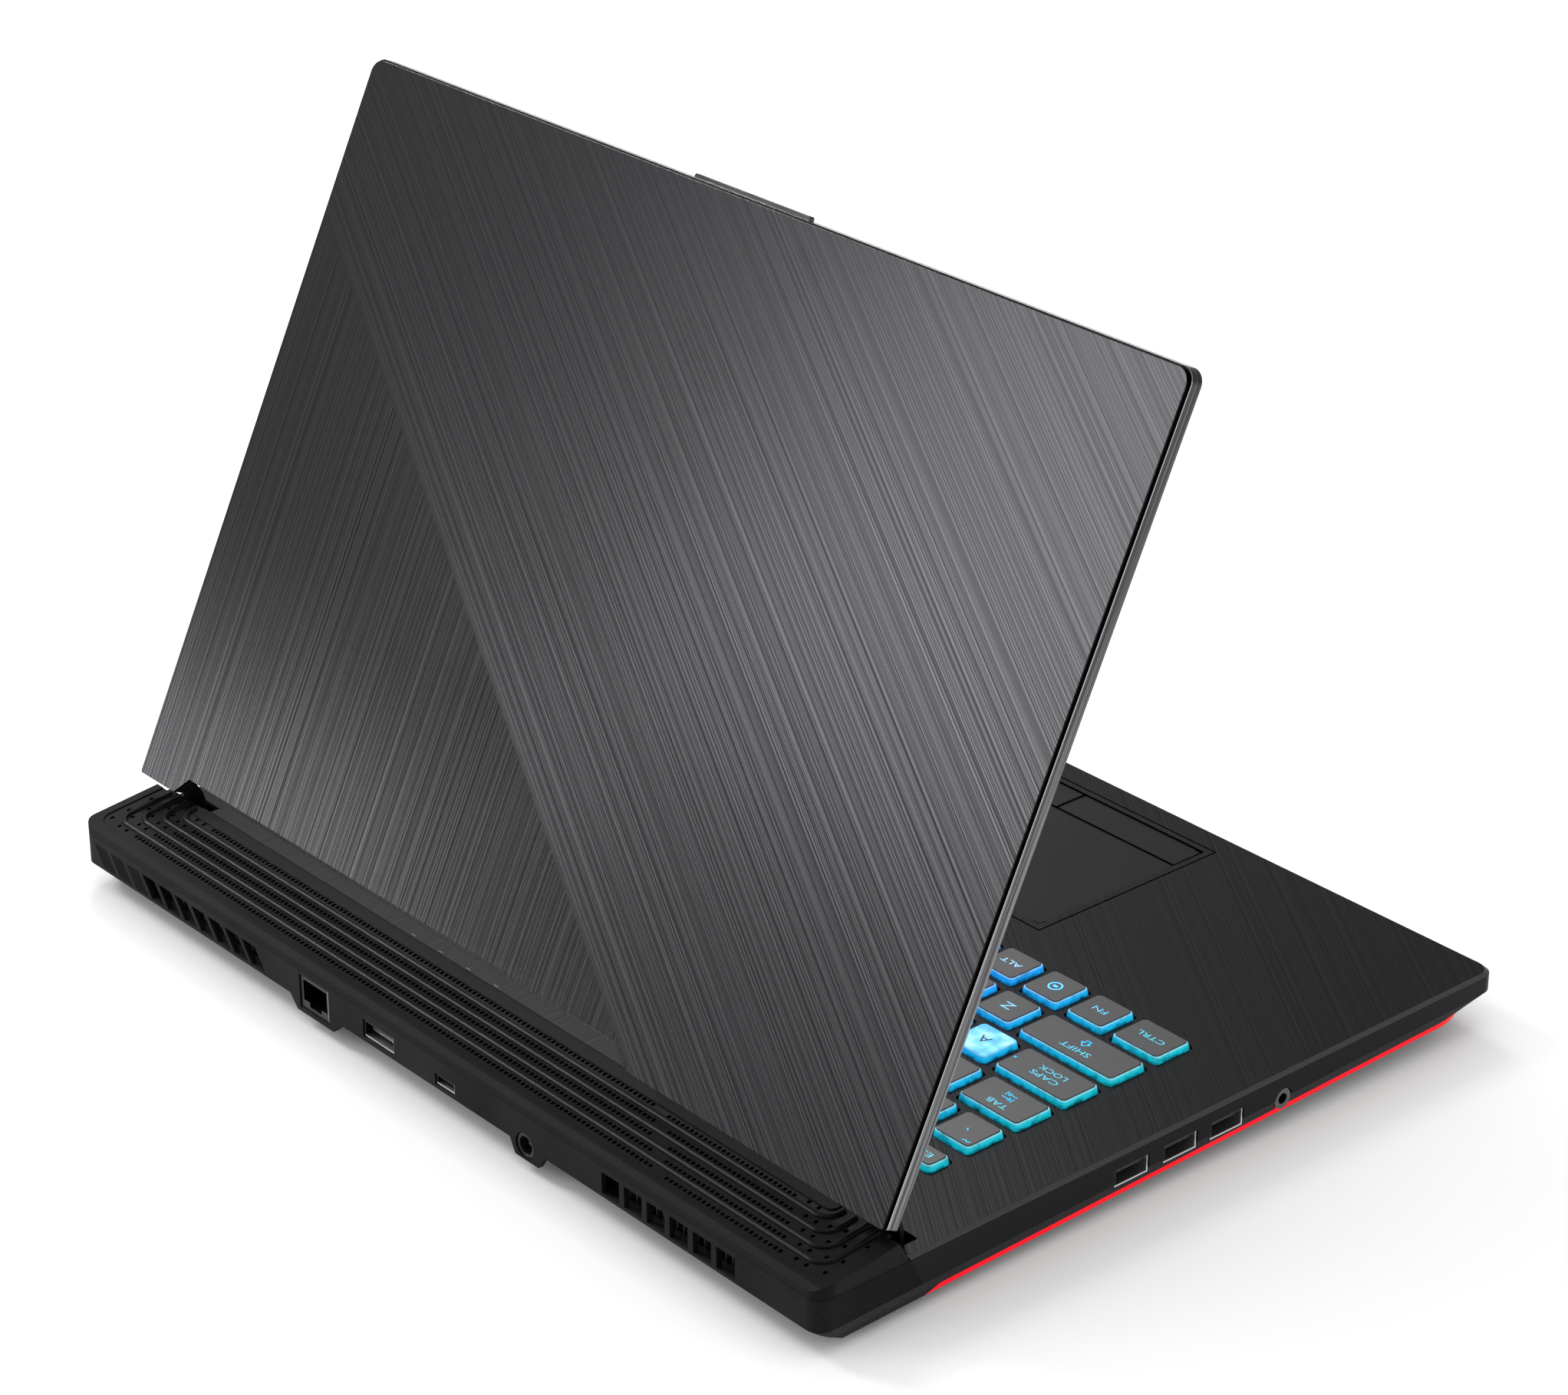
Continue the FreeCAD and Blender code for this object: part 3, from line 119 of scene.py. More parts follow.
lidLook = {
    "openAngle": 64.3,                          # degrees at rest, about the hinge line
    "hinge": (0, 114.2, 21.8),
    "mainAngle": -37.2, "cornerAngle": 90.0,    # brushing on each side of the dividing line, lid closed
    "divide": ((119.3, -41.1), (-62.0, 96.1)),  # two points of that line, mm
    "finest": 0.45,                             # mm; real scratches are finer, drawn as wide as they show
    "worn": (-135, 10), "wornShare": 0.35,      # mm from front to back: the streaks and the corner tone fade toward the top edge, and the side edge takes a painted shade there
    "main": ("#252527", "#3c3c3e", "#555557"), "corner": ("#202022", "#343435", "#4c4c4e"),
    "plateLevel": 25.2, "plateFacing": 0.7,     # the sheet's face is above this and looks up, lid closed
    "bandLevel": 24.56, "band": "#0b0b0c",      # dark step round the sheet, painted shade of the groove along it
    "rimLevel": 24.2, "rim": "#b9b9bb",         # bright line under the step, a painted highlight
    # painted shade: the side edge is drawn darker toward the top edge
    "edge": ("#48484a", "#767678", "#9c9c9e"), "edgeTop": "#29292b",
    "edgeStops": (0.36, 0.52, 0.64), "edgeLines": (80, 80, 0.5),  # drawn lines along the side, mm
    "roughness": (0.25, 0.21), "relief": 0.05, "easing": 0.3,
}


def brushedAluminiumLid():
    # Dark anodised aluminium sheet, brushed in two directions: long fine streaks catch the light crosswise
    look = lidLook
    made, tree, shader = newMaterial("brushedAnodisedAluminiumLid",
                                     {"Metallic": 0.92, "Anisotropic": 0.32})
    turn = Matrix.Rotation(math.radians(look["openAngle"]), 3, "X")
    hinge = Vector(look["hinge"]) * mm
    place = addNode(tree, "TexCoord")
    point = addNode(tree, "Mapping", {"Vector": place.outputs["Object"], "Location": hinge - turn @ hinge,
                                      "Rotation": (math.radians(look["openAngle"]), 0, 0)}).outputs[0]
    facing = addNode(tree, "Mapping", {"Vector": place.outputs["Normal"],
                                       "Rotation": (math.radians(look["openAngle"]), 0, 0)},
                     vector_type="VECTOR").outputs[0]
    level = addNode(tree, "SeparateXYZ", {"Vector": point}).outputs["Z"]
    upward = addNode(tree, "SeparateXYZ", {"Vector": facing}).outputs["Z"]

    start, end = (Vector(p) * mm for p in look["divide"])
    along = (end - start).normalized()
    across = Vector((along.y, -along.x, 0))
    offset = addNode(tree, "VectorMath", {0: point, 1: across}, operation="DOT_PRODUCT")
    corner = addNode(tree, "Math", {0: offset.outputs["Value"], 1: across.to_2d().dot(start)},
                     operation="GREATER_THAN").outputs[0]
    mainWay = brushStreaks(tree, point, math.radians(look["mainAngle"]), look["finest"])
    cornerWay = brushStreaks(tree, point, math.radians(look["cornerAngle"]), look["finest"])
    streak = addNode(tree, "Mix", {0: corner, 2: mainWay, 3: cornerWay}).outputs[0]
    forward = addNode(tree, "SeparateXYZ", {"Vector": point}).outputs["Y"]
    towardHinge = addNode(tree, "MapRange", {"Value": forward, "To Min": look["wornShare"],
                                      "From Min": look["worn"][0] * mm,
                                      "From Max": look["worn"][1] * mm}).outputs[0]
    streak = addNode(tree, "Mix", {0: towardHinge, 2: 0.5, 3: streak}).outputs[0]

    ways = []  # shine spreads across the scratches
    for angle in (look["mainAngle"], look["cornerAngle"]):
        a = math.radians(angle)
        ways.append(turn.inverted() @ Vector((-math.sin(a), math.cos(a), 0)))
    way = addNode(tree, "Mix", {0: corner, 4: ways[0], 5: ways[1]}, data_type="VECTOR").outputs[1]
    way = addNode(tree, "VectorTransform", {"Vector": way}, vector_type="VECTOR", convert_from="OBJECT",
                  convert_to="WORLD").outputs[0]
    tree.links.new(way, shader.inputs["Tangent"])

    high, band, rim = (addNode(tree, "Math", {0: level, 1: look[step] * mm},
                               operation="GREATER_THAN").outputs[0]
                       for step in ("plateLevel", "bandLevel", "rimLevel"))
    flat = addNode(tree, "Math", {0: upward, 1: look["plateFacing"]}, operation="GREATER_THAN").outputs[0]
    plate = addNode(tree, "Math", {0: high, 1: flat}, operation="MULTIPLY").outputs[0]

    drawn = addNode(tree, "Mapping", {"Vector": point, "Scale": [size * mm for size in look["edgeLines"]]},
                    vector_type="TEXTURE")
    lines = addNode(tree, "TexNoise", {"Vector": drawn.outputs[0], "Scale": 1, "Detail": 3})
    edge = addNode(tree, "ValToRGB", {"Fac": lines.outputs[0]},
                   stops=list(zip(look["edgeStops"], look["edge"])))
    # Painted shade: the side edge turns darker toward the top edge
    edge = addNode(tree, "Mix", {0: towardHinge, 6: toLinear(look["edgeTop"]), 7: edge.outputs[0]}, data_type="RGBA")
    tones = [addNode(tree, "ValToRGB", {"Fac": streak},
                     stops=list(zip((0.0, 0.5, 1.0), look[side]))).outputs[0] for side in ("main", "corner")]
    toned = addNode(tree, "Math", {0: corner, 1: towardHinge}, operation="MULTIPLY").outputs[0]
    sheet = addNode(tree, "Mix", {0: toned, 6: tones[0], 7: tones[1]}, data_type="RGBA").outputs[2]
    colour = edge.outputs[2]
    # Painted highlight under the step, painted shade on the step, brushed sheet on the face
    for mask, coat in ((rim, toLinear(look["rim"])), (band, toLinear(look["band"])), (plate, sheet)):
        colour = addNode(tree, "Mix", {0: mask, 6: colour, 7: coat}, data_type="RGBA").outputs[2]
    tree.links.new(colour, shader.inputs["Base Color"])
    rough = addNode(tree, "MapRange", {"Value": streak, "To Min": look["roughness"][0],
                                       "To Max": look["roughness"][1]}).outputs[0]
    tree.links.new(rough, shader.inputs["Roughness"])
    soft = addNode(tree, "Bevel", {"Radius": look["easing"] * mm}, samples=4)
    bump = addNode(tree, "Bump", {"Strength": look["relief"], "Distance": 0.03 * mm, "Height": streak,
                                  "Normal": soft.outputs[0]})
    tree.links.new(bump.outputs[0], shader.inputs["Normal"])
    return made


deckLook = {
    "angle": -34.0, "finest": 0.36,      # brushing over the palm rest, degrees and mm, as wide as it shows
    "dark": "#101011", "light": "#282829",
    "side": ("#252527", "#2d2d2f"), "sideGrain": 0.5,
    # painted highlight: the upward-sloping edge near the top is drawn paler
    "top": 19.9, "chamferDeep": 1.3, "chamfer": "#5a5a5c",
    "levelFacing": 0.9, "slopeFacing": 0.2,    # how far a face looks up
    "roughness": (0.4, 0.32), "relief": 0.1, "easing": 0.25,
}


def brushedDeck(name, angle, dark, light):
    # Black-dyed aluminium, brushed then satin lacquered: faint slanting streaks; the sloping edge is drawn
    # paler, a painted highlight
    look = deckLook
    made, tree, shader = newMaterial(name, {"Metallic": 0.35, "Anisotropic": 0.4,
                                            "Specular IOR Level": 0.03})
    place = addNode(tree, "TexCoord")
    point = place.outputs["Object"]
    streak = brushStreaks(tree, point, math.radians(angle), look["finest"])
    level = addNode(tree, "SeparateXYZ", {"Vector": point}).outputs["Z"]
    upward = addNode(tree, "SeparateXYZ", {"Vector": place.outputs["Normal"]}).outputs["Z"]
    sheet = addNode(tree, "ValToRGB", {"Fac": streak}, stops=[(0.0, dark), (1.0, light)])
    grain = addNode(tree, "TexNoise", {"Vector": point, "Scale": 1 / (look["sideGrain"] * mm), "Detail": 2})
    side = addNode(tree, "ValToRGB", {"Fac": grain.outputs[0]}, stops=list(zip((0.3, 0.7), look["side"])))
    flat = addNode(tree, "Math", {0: upward, 1: look["levelFacing"]}, operation="GREATER_THAN").outputs[0]
    highlightSlope = addNode(tree, "Math", {0: upward, 1: look["slopeFacing"]}, operation="GREATER_THAN").outputs[0]
    high = addNode(tree, "Math", {0: level, 1: (look["top"] - look["chamferDeep"]) * mm},
                   operation="GREATER_THAN").outputs[0]
    highlightSlope = addNode(tree, "Math", {0: highlightSlope, 1: high}, operation="MULTIPLY").outputs[0]
    colour = side.outputs[0]
    # Painted highlight on the sloping edge near the top, brushed sheet on level faces
    for mask, coat in ((highlightSlope, toLinear(look["chamfer"])), (flat, sheet.outputs[0])):
        colour = addNode(tree, "Mix", {0: mask, 6: colour, 7: coat}, data_type="RGBA").outputs[2]
    tree.links.new(colour, shader.inputs["Base Color"])
    rough = addNode(tree, "MapRange", {"Value": streak, "To Min": look["roughness"][0],
                                       "To Max": look["roughness"][1]}).outputs[0]
    tree.links.new(rough, shader.inputs["Roughness"])
    a = math.radians(angle)
    way = addNode(tree, "VectorTransform", {"Vector": (-math.sin(a), math.cos(a), 0)}, vector_type="VECTOR",
                  convert_from="OBJECT", convert_to="WORLD").outputs[0]
    tree.links.new(way, shader.inputs["Tangent"])
    scratch = addNode(tree, "Math", {0: streak, 1: flat}, operation="MULTIPLY").outputs[0]
    soft = addNode(tree, "Bevel", {"Radius": look["easing"] * mm}, samples=4)
    bump = addNode(tree, "Bump", {"Strength": look["relief"], "Distance": 0.03 * mm, "Height": scratch,
                                  "Normal": soft.outputs[0]})
    tree.links.new(bump.outputs[0], shader.inputs["Normal"])
    return made


# Moulded plastics, rubber and metals

mouldLook = {
    "wide": 28, "shares": (0.35, 0.65),  # mm of the slow flow marks; how much they and the grain count
    "vary": 0.06,                        # roughness either way over the grain
    "jointLine": "#020202", "levelFacing": (0.93, 0.98), "depth": 0.05,
}


def mouldedPlastic(name, dark, light, grain, roughness, relief, edge=0.25, sockets={}, joint=None,
                   dull=None):
    # Injection-moulded ABS: even spark-eroded grain that breaks up the shine, edges slightly rounded
    look = mouldLook
    made, tree, shader = newMaterial(name, {"IOR": 1.46, **sockets})
    place = addNode(tree, "TexCoord")
    fine = addNode(tree, "TexNoise", {"Vector": place.outputs["Object"], "Scale": 1 / (grain * mm),
                                      "Detail": 3, "Roughness": 0.6})
    wide = addNode(tree, "TexNoise", {"Vector": place.outputs["Object"], "Scale": 1 / (look["wide"] * mm),
                                      "Detail": 2})
    mixed = addNode(tree, "Math", {0: wide.outputs[0], 1: look["shares"][0]}, operation="MULTIPLY")
    mixed = addNode(tree, "Math", {0: fine.outputs[0], 1: look["shares"][1], 2: mixed.outputs[0]},
                    operation="MULTIPLY_ADD")
    colour = addNode(tree, "ValToRGB", {"Fac": mixed.outputs[0]},
                     stops=[(0.35, dark), (0.65, light)]).outputs[0]
    if joint:  # dark line where the piece meets the one above, at a level and over a half height in mm
        height = addNode(tree, "SeparateXYZ", {"Vector": place.outputs["Object"]}).outputs["Z"]
        line = addNode(tree, "Math", {0: height, 1: joint[0] * mm, 2: joint[1] * mm},
                       operation="COMPARE").outputs[0]
        colour = addNode(tree, "Mix", {0: line, 6: colour, 7: toLinear(look["jointLine"])},
                         data_type="RGBA").outputs[2]
    tree.links.new(colour, shader.inputs["Base Color"])
    rough = addNode(tree, "MapRange", {"Value": mixed.outputs[0], "From Min": 0.3, "From Max": 0.7,
                                       "To Min": roughness + look["vary"],
                                       "To Max": roughness - look["vary"]}).outputs[0]
    if dull:  # level faces, and all behind a line in mm, stay duller than the ribs, which handling burnishes
        upward = addNode(tree, "SeparateXYZ", {"Vector": place.outputs["Normal"]}).outputs["Z"]
        flat = addNode(tree, "MapRange", {"Value": upward, "From Min": look["levelFacing"][0],
                                          "From Max": look["levelFacing"][1]}).outputs[0]
        back = addNode(tree, "SeparateXYZ", {"Vector": place.outputs["Object"]}).outputs["Y"]
        rear = addNode(tree, "Math", {0: back, 1: dull[1] * mm}, operation="GREATER_THAN").outputs[0]
        rest = addNode(tree, "Math", {0: flat, 1: rear}, operation="MAXIMUM").outputs[0]
        rough = addNode(tree, "Mix", {0: rest, 2: rough, 3: dull[0]}).outputs[0]
    tree.links.new(rough, shader.inputs["Roughness"])
    soft = addNode(tree, "Bevel", {"Radius": edge * mm}, samples=4)
    bump = addNode(tree, "Bump", {"Strength": relief, "Distance": look["depth"] * mm,
                                  "Height": fine.outputs[0], "Normal": soft.outputs[0]})
    tree.links.new(bump.outputs[0], shader.inputs["Normal"])
    return made


def platedMetal(name, dark, light, grain, roughness):
    # Rolled or plated sheet: plain mirror-grey with faint rolling marks and handling haze
    made, tree, shader = newMaterial(name, {"Metallic": 1.0})
    place = addNode(tree, "TexCoord")
    rolled = addNode(tree, "Mapping", {"Vector": place.outputs["Object"],
                                       "Scale": (grain * 12 * mm, grain * mm, grain * mm)},
                     vector_type="TEXTURE")
    marks = addNode(tree, "TexNoise", {"Vector": rolled.outputs[0], "Scale": 1, "Detail": 3})
    colour = addNode(tree, "ValToRGB", {"Fac": marks.outputs[0]}, stops=[(0.35, dark), (0.65, light)])
    tree.links.new(colour.outputs[0], shader.inputs["Base Color"])
    rough = addNode(tree, "MapRange", {"Value": marks.outputs[0], "To Min": roughness - 0.08,
                                       "To Max": roughness + 0.08})
    tree.links.new(rough.outputs[0], shader.inputs["Roughness"])
    bump = addNode(tree, "Bump", {"Strength": 0.06, "Distance": 0.02 * mm, "Height": marks.outputs[0]})
    tree.links.new(bump.outputs[0], shader.inputs["Normal"])
    return made


def lacquerLaminate():
    # Glass-epoxy board under green solder lacquer: copper tracks show as paler lines under the gloss
    made, tree, shader = newMaterial("lacqueredEpoxyLaminate", {"Roughness": 0.35, "IOR": 1.55})
    place = addNode(tree, "TexCoord")
    trackPitch = 3.2 * mm
    tracks = addNode(tree, "TexVoronoi", {"Vector": place.outputs["Object"], "Scale": 1 / trackPitch},
                     feature="DISTANCE_TO_EDGE", distance="MANHATTAN")
    colour = addNode(tree, "ValToRGB", {"Fac": tracks.outputs["Distance"]},
                     stops=[(0.02, "#2d6b45"), (0.07, "#12351f"), (0.5, "#0f2c1b")])
    tree.links.new(colour.outputs[0], shader.inputs["Base Color"])
    bump = addNode(tree, "Bump", {"Strength": 0.2, "Distance": 0.03 * mm,
                                  "Height": tracks.outputs["Distance"]})
    tree.links.new(bump.outputs[0], shader.inputs["Normal"])
    return made


def litDiffuser(name, tint, glow, strength):
    # Tinted polycarbonate lit from inside: even colour, a little paler where the lamps sit
    made, tree, shader = newMaterial(name, {"Roughness": 0.35, "IOR": 1.58, "Specular IOR Level": 0.15,
                                            "Emission Strength": strength})
    place = addNode(tree, "TexCoord")
    lampPitch, lampTall = 26 * mm, 200 * mm
    rows = addNode(tree, "Mapping", {"Vector": place.outputs["Object"],
                                     "Scale": (lampPitch, lampPitch, lampTall)}, vector_type="TEXTURE")
    spots = addNode(tree, "TexNoise", {"Vector": rows.outputs[0], "Scale": 1, "Detail": 1})
    colour = addNode(tree, "ValToRGB", {"Fac": spots.outputs[0]}, stops=list(zip((0.35, 0.65), tint)))
    shine = addNode(tree, "ValToRGB", {"Fac": spots.outputs[0]}, stops=list(zip((0.35, 0.65), glow)))
    tree.links.new(colour.outputs[0], shader.inputs["Base Color"])
    tree.links.new(shine.outputs[0], shader.inputs["Emission Color"])
    return made


shellLook = {
    "rimHalf": 0.3, "frontFacing": 0.7, "haze": 0.4,    # mm, share and mm
    # painted shade inside and on the front, painted glints on the listed rims
    "inside": ("#232325", "#3a3a3c"), "glint": "#e6e6e8", "moulding": "#0c0c0d",
}


def socketShell(name, outward, paintedGlintRims, tongue=None):
    # Nickel-plated steel in a black moulding: a black front, partly moulding and partly painted shade;
    # painted glints on a folded edge or two; painted shade makes the inside dark grey
    look = shellLook
    made, tree, shader = newMaterial(name, {})
    place = addNode(tree, "TexCoord")
    at = addNode(tree, "SeparateXYZ", {"Vector": place.outputs["Object"]}).outputs
    facing = addNode(tree, "VectorMath", {0: place.outputs["Normal"], 1: outward}, operation="DOT_PRODUCT")
    front = addNode(tree, "Math", {0: facing.outputs["Value"], 1: look["frontFacing"]},
                    operation="GREATER_THAN").outputs[0]
    glint = 0.0
    for axis, middle in paintedGlintRims:
        near = addNode(tree, "Math", {0: at[axis], 1: middle * mm, 2: look["rimHalf"] * mm},
                       operation="COMPARE").outputs[0]
        glint = addNode(tree, "Math", {0: near, 1: glint}, operation="MAXIMUM").outputs[0]
    # Front faces are black: the moulding, and painted shade where the shell's rims lie in shadow
    dull = addNode(tree, "Math", {0: front, 1: glint}, operation="SUBTRACT", use_clamp=True).outputs[0]
    if tongue:  # the black tongue stands in a span of height, inside the shell's width
        level, half, middles, reach = tongue
        span = addNode(tree, "Math", {0: at["Z"], 1: level * mm, 2: half * mm},
                       operation="COMPARE").outputs[0]
        inside = 0.0
        for middle in middles:
            near = addNode(tree, "Math", {0: at["Y" if outward[0] else "X"], 1: middle * mm, 2: reach * mm},
                           operation="COMPARE").outputs[0]
            inside = addNode(tree, "Math", {0: near, 1: inside}, operation="MAXIMUM").outputs[0]
        block = addNode(tree, "Math", {0: span, 1: inside}, operation="MULTIPLY").outputs[0]
        dull = addNode(tree, "Math", {0: dull, 1: block}, operation="MAXIMUM").outputs[0]
    haze = addNode(tree, "TexNoise", {"Vector": place.outputs["Object"], "Scale": 1 / (look["haze"] * mm),
                                      "Detail": 2})
    # Painted shade: the steel inside is drawn dark grey; painted glints on the listed rims
    shadedSteel = addNode(tree, "ValToRGB", {"Fac": haze.outputs[0]}, stops=list(zip((0.35, 0.65), look["inside"])))
    bright = addNode(tree, "Mix", {0: glint, 6: shadedSteel.outputs[0], 7: toLinear(look["glint"])},
                     data_type="RGBA")
    colour = addNode(tree, "Mix", {0: dull, 6: bright.outputs[2], 7: toLinear(look["moulding"])},
                     data_type="RGBA")
    tree.links.new(colour.outputs[2], shader.inputs["Base Color"])
    metal = addNode(tree, "Math", {0: 1.0, 1: dull}, operation="SUBTRACT").outputs[0]
    tree.links.new(metal, shader.inputs["Metallic"])
    rough = addNode(tree, "MapRange", {"Value": haze.outputs[0], "To Min": 0.3, "To Max": 0.45})
    tree.links.new(rough.outputs[0], shader.inputs["Roughness"])
    return made


def screenGlass():
    # Matt-etched panel film over dark liquid crystal: near black with a soft grey sheen
    made, tree, shader = newMaterial("etchedScreenFilm", {"IOR": 1.5, "Coat Weight": 0.25,
                                                          "Coat Roughness": 0.35})
    place = addNode(tree, "TexCoord")
    pitSize = 0.4 * mm  # real etching is finer, drawn as coarse as it shows
    etch = addNode(tree, "TexNoise", {"Vector": place.outputs["Object"], "Scale": 1 / pitSize, "Detail": 2})
    colour = addNode(tree, "ValToRGB", {"Fac": etch.outputs[0]}, stops=[(0.3, "#08080a"), (0.7, "#0d0d10")])
    tree.links.new(colour.outputs[0], shader.inputs["Base Color"])
    rough = addNode(tree, "MapRange", {"Value": etch.outputs[0], "To Min": 0.3, "To Max": 0.42})
    tree.links.new(rough.outputs[0], shader.inputs["Roughness"])
    return made


print("stage: deck, lid and trim finishes")
finishes = {  # by material slot; grain in mm, coarser than the real grain so that it shows
    "brushed_lid": brushedAluminiumLid(),
    "brushed_deck": brushedDeck("brushedDyedAluminiumDeck", deckLook["angle"], deckLook["dark"],
                                deckLook["light"]),
    "grained_black": mouldedPlastic("grainedAbsBlack", "#070708", "#161617", grain=0.55, roughness=0.33,
                                    relief=0.35, edge=0.3, sockets={"Specular IOR Level": 0.14},
                                    dull=(0.65, 130.5)),
    "black_cover": mouldedPlastic("mattAbsBlack", "#19191a", "#262628", grain=0.8, roughness=0.5, relief=0.2,
                                  sockets={"Specular IOR Level": 0.25}),
    "red_diffuser": litDiffuser("litRedPolycarbonate", ("#4a0008", "#5a000c"), ("#f4001c", "#ff0820"), 1.0),
    "clear_pipe": litDiffuser("clearAcrylicLightPipe", ("#151617", "#1e1f21"), ("#000000", "#000000"), 0.0),
    "pressed_steel": platedMetal("pressedZincSteel", "#54555a", "#6b6c70", grain=0.5, roughness=0.42),
    # Satin film over the sensor: smooth and even, with hardly any grain
    "touch_surface": mouldedPlastic("satinTouchFilm", "#171718", "#1e1e1f", grain=0.35, roughness=0.42,
                                    relief=0.06, edge=0.2, sockets={"Specular IOR Level": 0.1}),
    # Glass-filled nylon: dull black with a faint mottle from the fibres
    "socket_black": mouldedPlastic("glassFilledNylonBlack", "#101011", "#1c1c1d", grain=0.4, roughness=0.45,
                                   relief=0.15),
    "board_laminate": lacquerLaminate(),
    "bare_aluminium": platedMetal("rolledAluminium", "#a9aaad", "#c9cacc", grain=0.6, roughness=0.38),
    "heat_pipe_copper": platedMetal("drawnCopper", "#a8623a", "#c98457", grain=0.8, roughness=0.33),
    # Silicone pressed in a blasted mould: soft and dull, without highlights
    "soft_rubber": mouldedPlastic("mouldedSiliconeRubber", "#161616", "#222222", grain=1.2, roughness=0.75,
                                  relief=0.25),
    "black_bezel": mouldedPlastic("mattAbsBezel", "#121213", "#1b1b1c", grain=0.5, roughness=0.5,
                                  relief=0.25),
    "display_glass": screenGlass(),
}
usbPlaces = (18.7, -0.85, -19.9)  # along the left side, mm
usbLip = 6.35                     # from a socket's middle to its folded side edge
ownFinish = {  # solids that differ from the rest of their slot
    "indicator_strip": brushedDeck("brushedDyedAluminiumStrip", 90, "#0c0c0d", "#1c1c1e"),
    # The listed rims of each socket get a painted glint
    "usb_sockets": socketShell("nickelSteelFlatSocket", (-1, 0, 0),
                               [("Z", 9.3)] + [("Y", y - usbLip) for y in usbPlaces],
                               (13.3, 0.98, usbPlaces, 5.55)),
    "lan_socket": socketShell("blackMouldedNetworkSocket", (0, 1, 0), [("X", 44.5)]),
    "video_socket": socketShell("nickelSteelVideoSocket", (0, 1, 0), [("Z", 10.45), ("X", 11.05)],
                                (13.0, 0.62, (18.3,), 5.55)),
    "small_data_socket": socketShell("nickelSteelSmallSocket", (0, 1, 0), [("Z", 10.2), ("X", -18.85)],
                                     (11.6, 0.37, (-14.6,), 3.35)),
    "rear_panel": mouldedPlastic("mattAbsRearPanel", "#0e0e0f", "#272729", grain=0.5, roughness=0.55,
                                 relief=0.3, edge=0.3, sockets={"Specular IOR Level": 0.08},
                                 joint=(19.0, 0.35)),
    "audio_jack": platedMetal("blackNickelJackRing", "#5c5c5f", "#77777a", grain=0.3, roughness=0.36),
}
for name, solid in nodes.items():
    finish = ownFinish.get(name, finishes.get(slotOf[name]))
    if finish:  # the key caps have none, because pieces stand for them
        solid.data.materials.clear()
        solid.data.materials.append(finish)


# Keys: lit skirts, dark lacquered tops, legends

keyLook = {
    "corner": 1.5, "flare": 0.5, "lowest": 3.6,       # mm, as the solid caps
    "plateInset": 0.28, "plateThick": 0.32, "fillet": 0.22,
    "legendRise": 0.02,
    "left": -154.4, "right": 152.0,                   # the keyboard's width, for the colour sweep
    "sweep": [(0.0, "#12b4c4"), (0.09, "#15a9d6"), (0.25, "#1c93ec"), (0.55, "#2f66f0"), (1.0, "#6b3df0")],
    "legendSweep": [(0.0, "#35c3d2"), (0.1, "#3fb8e2"), (0.22, "#8cd0fa"), (1.0, "#a9a6ff")],
    "litCaps": {"key_a": (0,), "upper_letter_keys": (1,), "home_letter_keys": (0, 1)},
    "blot": (3.2, 3.2, 2.2), "blotDark": "#02181d",   # mm; shade of the legs under a cap
    "shadeLevels": (18.6, 20.6), "paleLevels": (21.2, 21.9), "pale": "#d9f4fa",   # heights over the table, mm
    "fleck": 0.35, "cloud": 5, "fade": 2,             # mm; the real fleck is finer than it is drawn
}


def sweepColour(tree, point, stops):  # backlight colour across the keyboard
    along = addNode(tree, "SeparateXYZ", {"Vector": point}).outputs["X"]
    share = addNode(tree, "MapRange", {"Value": along, "From Min": keyLook["left"] * mm,
                                       "From Max": keyLook["right"] * mm}).outputs[0]
    return addNode(tree, "ValToRGB", {"Fac": share}, stops=stops).outputs[0]


def clearSkirt():
    # Clear polycarbonate cap over lamps: strong colour, dark low down, pale at the top, blotched by legs
    made, tree, shader = newMaterial("clearPolycarbonateSkirt", {"Roughness": 0.22, "IOR": 1.58,
                                                                 "Emission Strength": 0.8})
    place = addNode(tree, "TexCoord")
    point = place.outputs["Object"]
    hue = sweepColour(tree, point, keyLook["sweep"])
    blot = addNode(tree, "Mapping", {"Vector": point, "Scale": [size * mm for size in keyLook["blot"]]},
                   vector_type="TEXTURE")
    legs = addNode(tree, "TexNoise", {"Vector": blot.outputs[0], "Scale": 1, "Detail": 2, "Roughness": 0.6})
    level = addNode(tree, "SeparateXYZ", {"Vector": point}).outputs["Z"]
    low = addNode(tree, "MapRange", {"Value": level, "From Min": keyLook["shadeLevels"][0] * mm,
                                     "From Max": keyLook["shadeLevels"][1] * mm,
                                     "To Min": 0.55, "To Max": 0.0}).outputs[0]
    shade = addNode(tree, "Math", {0: legs.outputs[0], 1: low}, operation="SUBTRACT").outputs[0]
    shade = addNode(tree, "MapRange", {"Value": shade, "From Min": 0.05, "From Max": 0.5,
                                       "To Min": 0.08}).outputs[0]
    pale = addNode(tree, "MapRange", {"Value": level, "From Min": keyLook["paleLevels"][0] * mm,
                                      "From Max": keyLook["paleLevels"][1] * mm, "To Max": 0.42}).outputs[0]
    glow = addNode(tree, "Mix", {0: pale, 6: hue, 7: toLinear(keyLook["pale"])}, data_type="RGBA").outputs[2]
    glow = addNode(tree, "Mix", {0: shade, 6: toLinear(keyLook["blotDark"]), 7: glow},
                   data_type="RGBA").outputs[2]
    tree.links.new(glow, shader.inputs["Base Color"])
    tree.links.new(glow, shader.inputs["Emission Color"])
    return made


